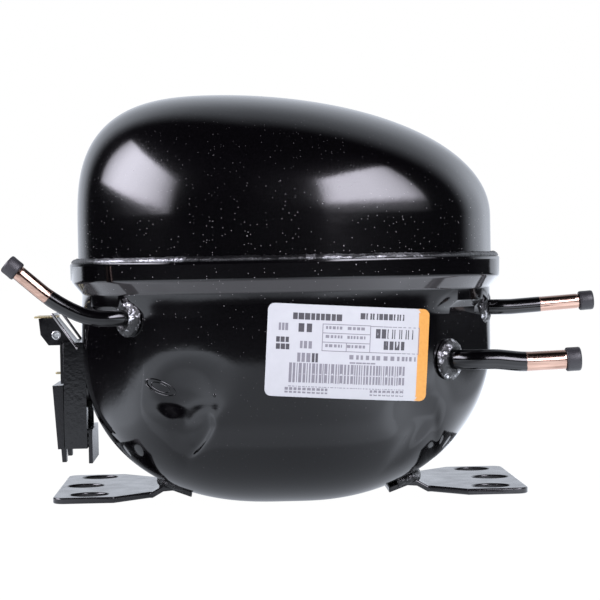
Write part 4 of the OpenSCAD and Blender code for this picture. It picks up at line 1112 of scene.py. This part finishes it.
def build_floor():
    """A white floor under the object that glows, as on a short sweep of paper, with painted light brighter to
    both sides.
    """
    sides = 96
    points = [(radius * math.cos(a), radius * math.sin(a), FLOOR_Z)
              for radius in (0.0001, 1.0, 8.0) for a in np.arange(sides) * 2 * math.pi / sides]
    faces = quads(0, sides, sides) + quads(sides, 2 * sides, sides)
    mesh = bpy.data.meshes.new("floor")
    mesh.from_pydata(points, [], faces)
    mat = bpy.data.materials.new("floor_paper_glow")
    mat.use_nodes = True
    tree = mat.node_tree
    # x, y and z here are metres from the middle of the feet
    f = Field(tree, tree.nodes.new("ShaderNodeTexCoord").outputs["Object"])
    right = f.times(f.ease(f.x, 0.0, 0.13), f.ease(f.x, 0.2, 0.45, 1.0, 0.25))
    lit = f.math("ADD", f.times(right, 1.25), f.ease(f.x, -0.03, -0.25, 0.9, 1.9))
    # A painted strip of light just in front, which the belly mirrors
    painted_light_strip = f.times(f.ease(f.y, -0.08, -0.088), f.ease(f.y, -0.135, -0.10))
    lit = f.times(lit, f.math("ADD", 1.0, f.times(painted_light_strip, 0.3)))
    # The painted light ends far out, falls into painted shadow behind the left end, goes on straight behind,
    # and painted shade dims it underneath
    far = f.math("SQRT", f.math("ADD", f.times(f.x, f.x), f.times(f.y, f.y)))
    aside = f.times(f.math("ABSOLUTE", f.x), 0.75)
    behind = f.ease(f.math("SUBTRACT", f.y, aside), 0.05, 0.5)
    slanted = f.math("ADD", f.y, f.times(f.x, 0.2))
    left_back_painted_shadow = f.times(f.ease(slanted, 0.0, 0.06), f.ease(f.x, -0.03, -0.09))
    near = f.times(f.ease(far, 1.15, 0.65, 0.02, 1.0), f.math("SUBTRACT", 1.0, left_back_painted_shadow))
    sweep_end = f.math("MAXIMUM", near, behind)
    shade = f.ease(far, 0.0, 0.15, 0.55, 1.0)
    tone = f.times(f.times(lit, sweep_end), shade)
    paper = tree.nodes["Principled BSDF"]
    paper.inputs["Base Color"].default_value = (0.02, 0.02, 0.02, 1)
    paper.inputs["Roughness"].default_value = 1.0
    paper.inputs["Specular IOR Level"].default_value = 0.0
    # The floor glows with this painted light and shade, and its own diffuse colour is nearly black
    paper.inputs["Emission Strength"].default_value = 1.0
    tree.links.new(f.seen_white(tone), paper.inputs["Emission Color"])
    mesh.materials.append(mat)
    floor = bpy.data.objects.new("floor", mesh)
    bpy.context.scene.collection.objects.link(floor)


build_upper_shell()
build_lower_shell()
build_seam_weld()
build_stamp()
for tube_name, tube_data in TUBES.items():
    build_tube(tube_name, tube_data)
build_label()
build_electrics()
build_feet()
finish_inside()
build_camera()
build_lights()
build_floor()
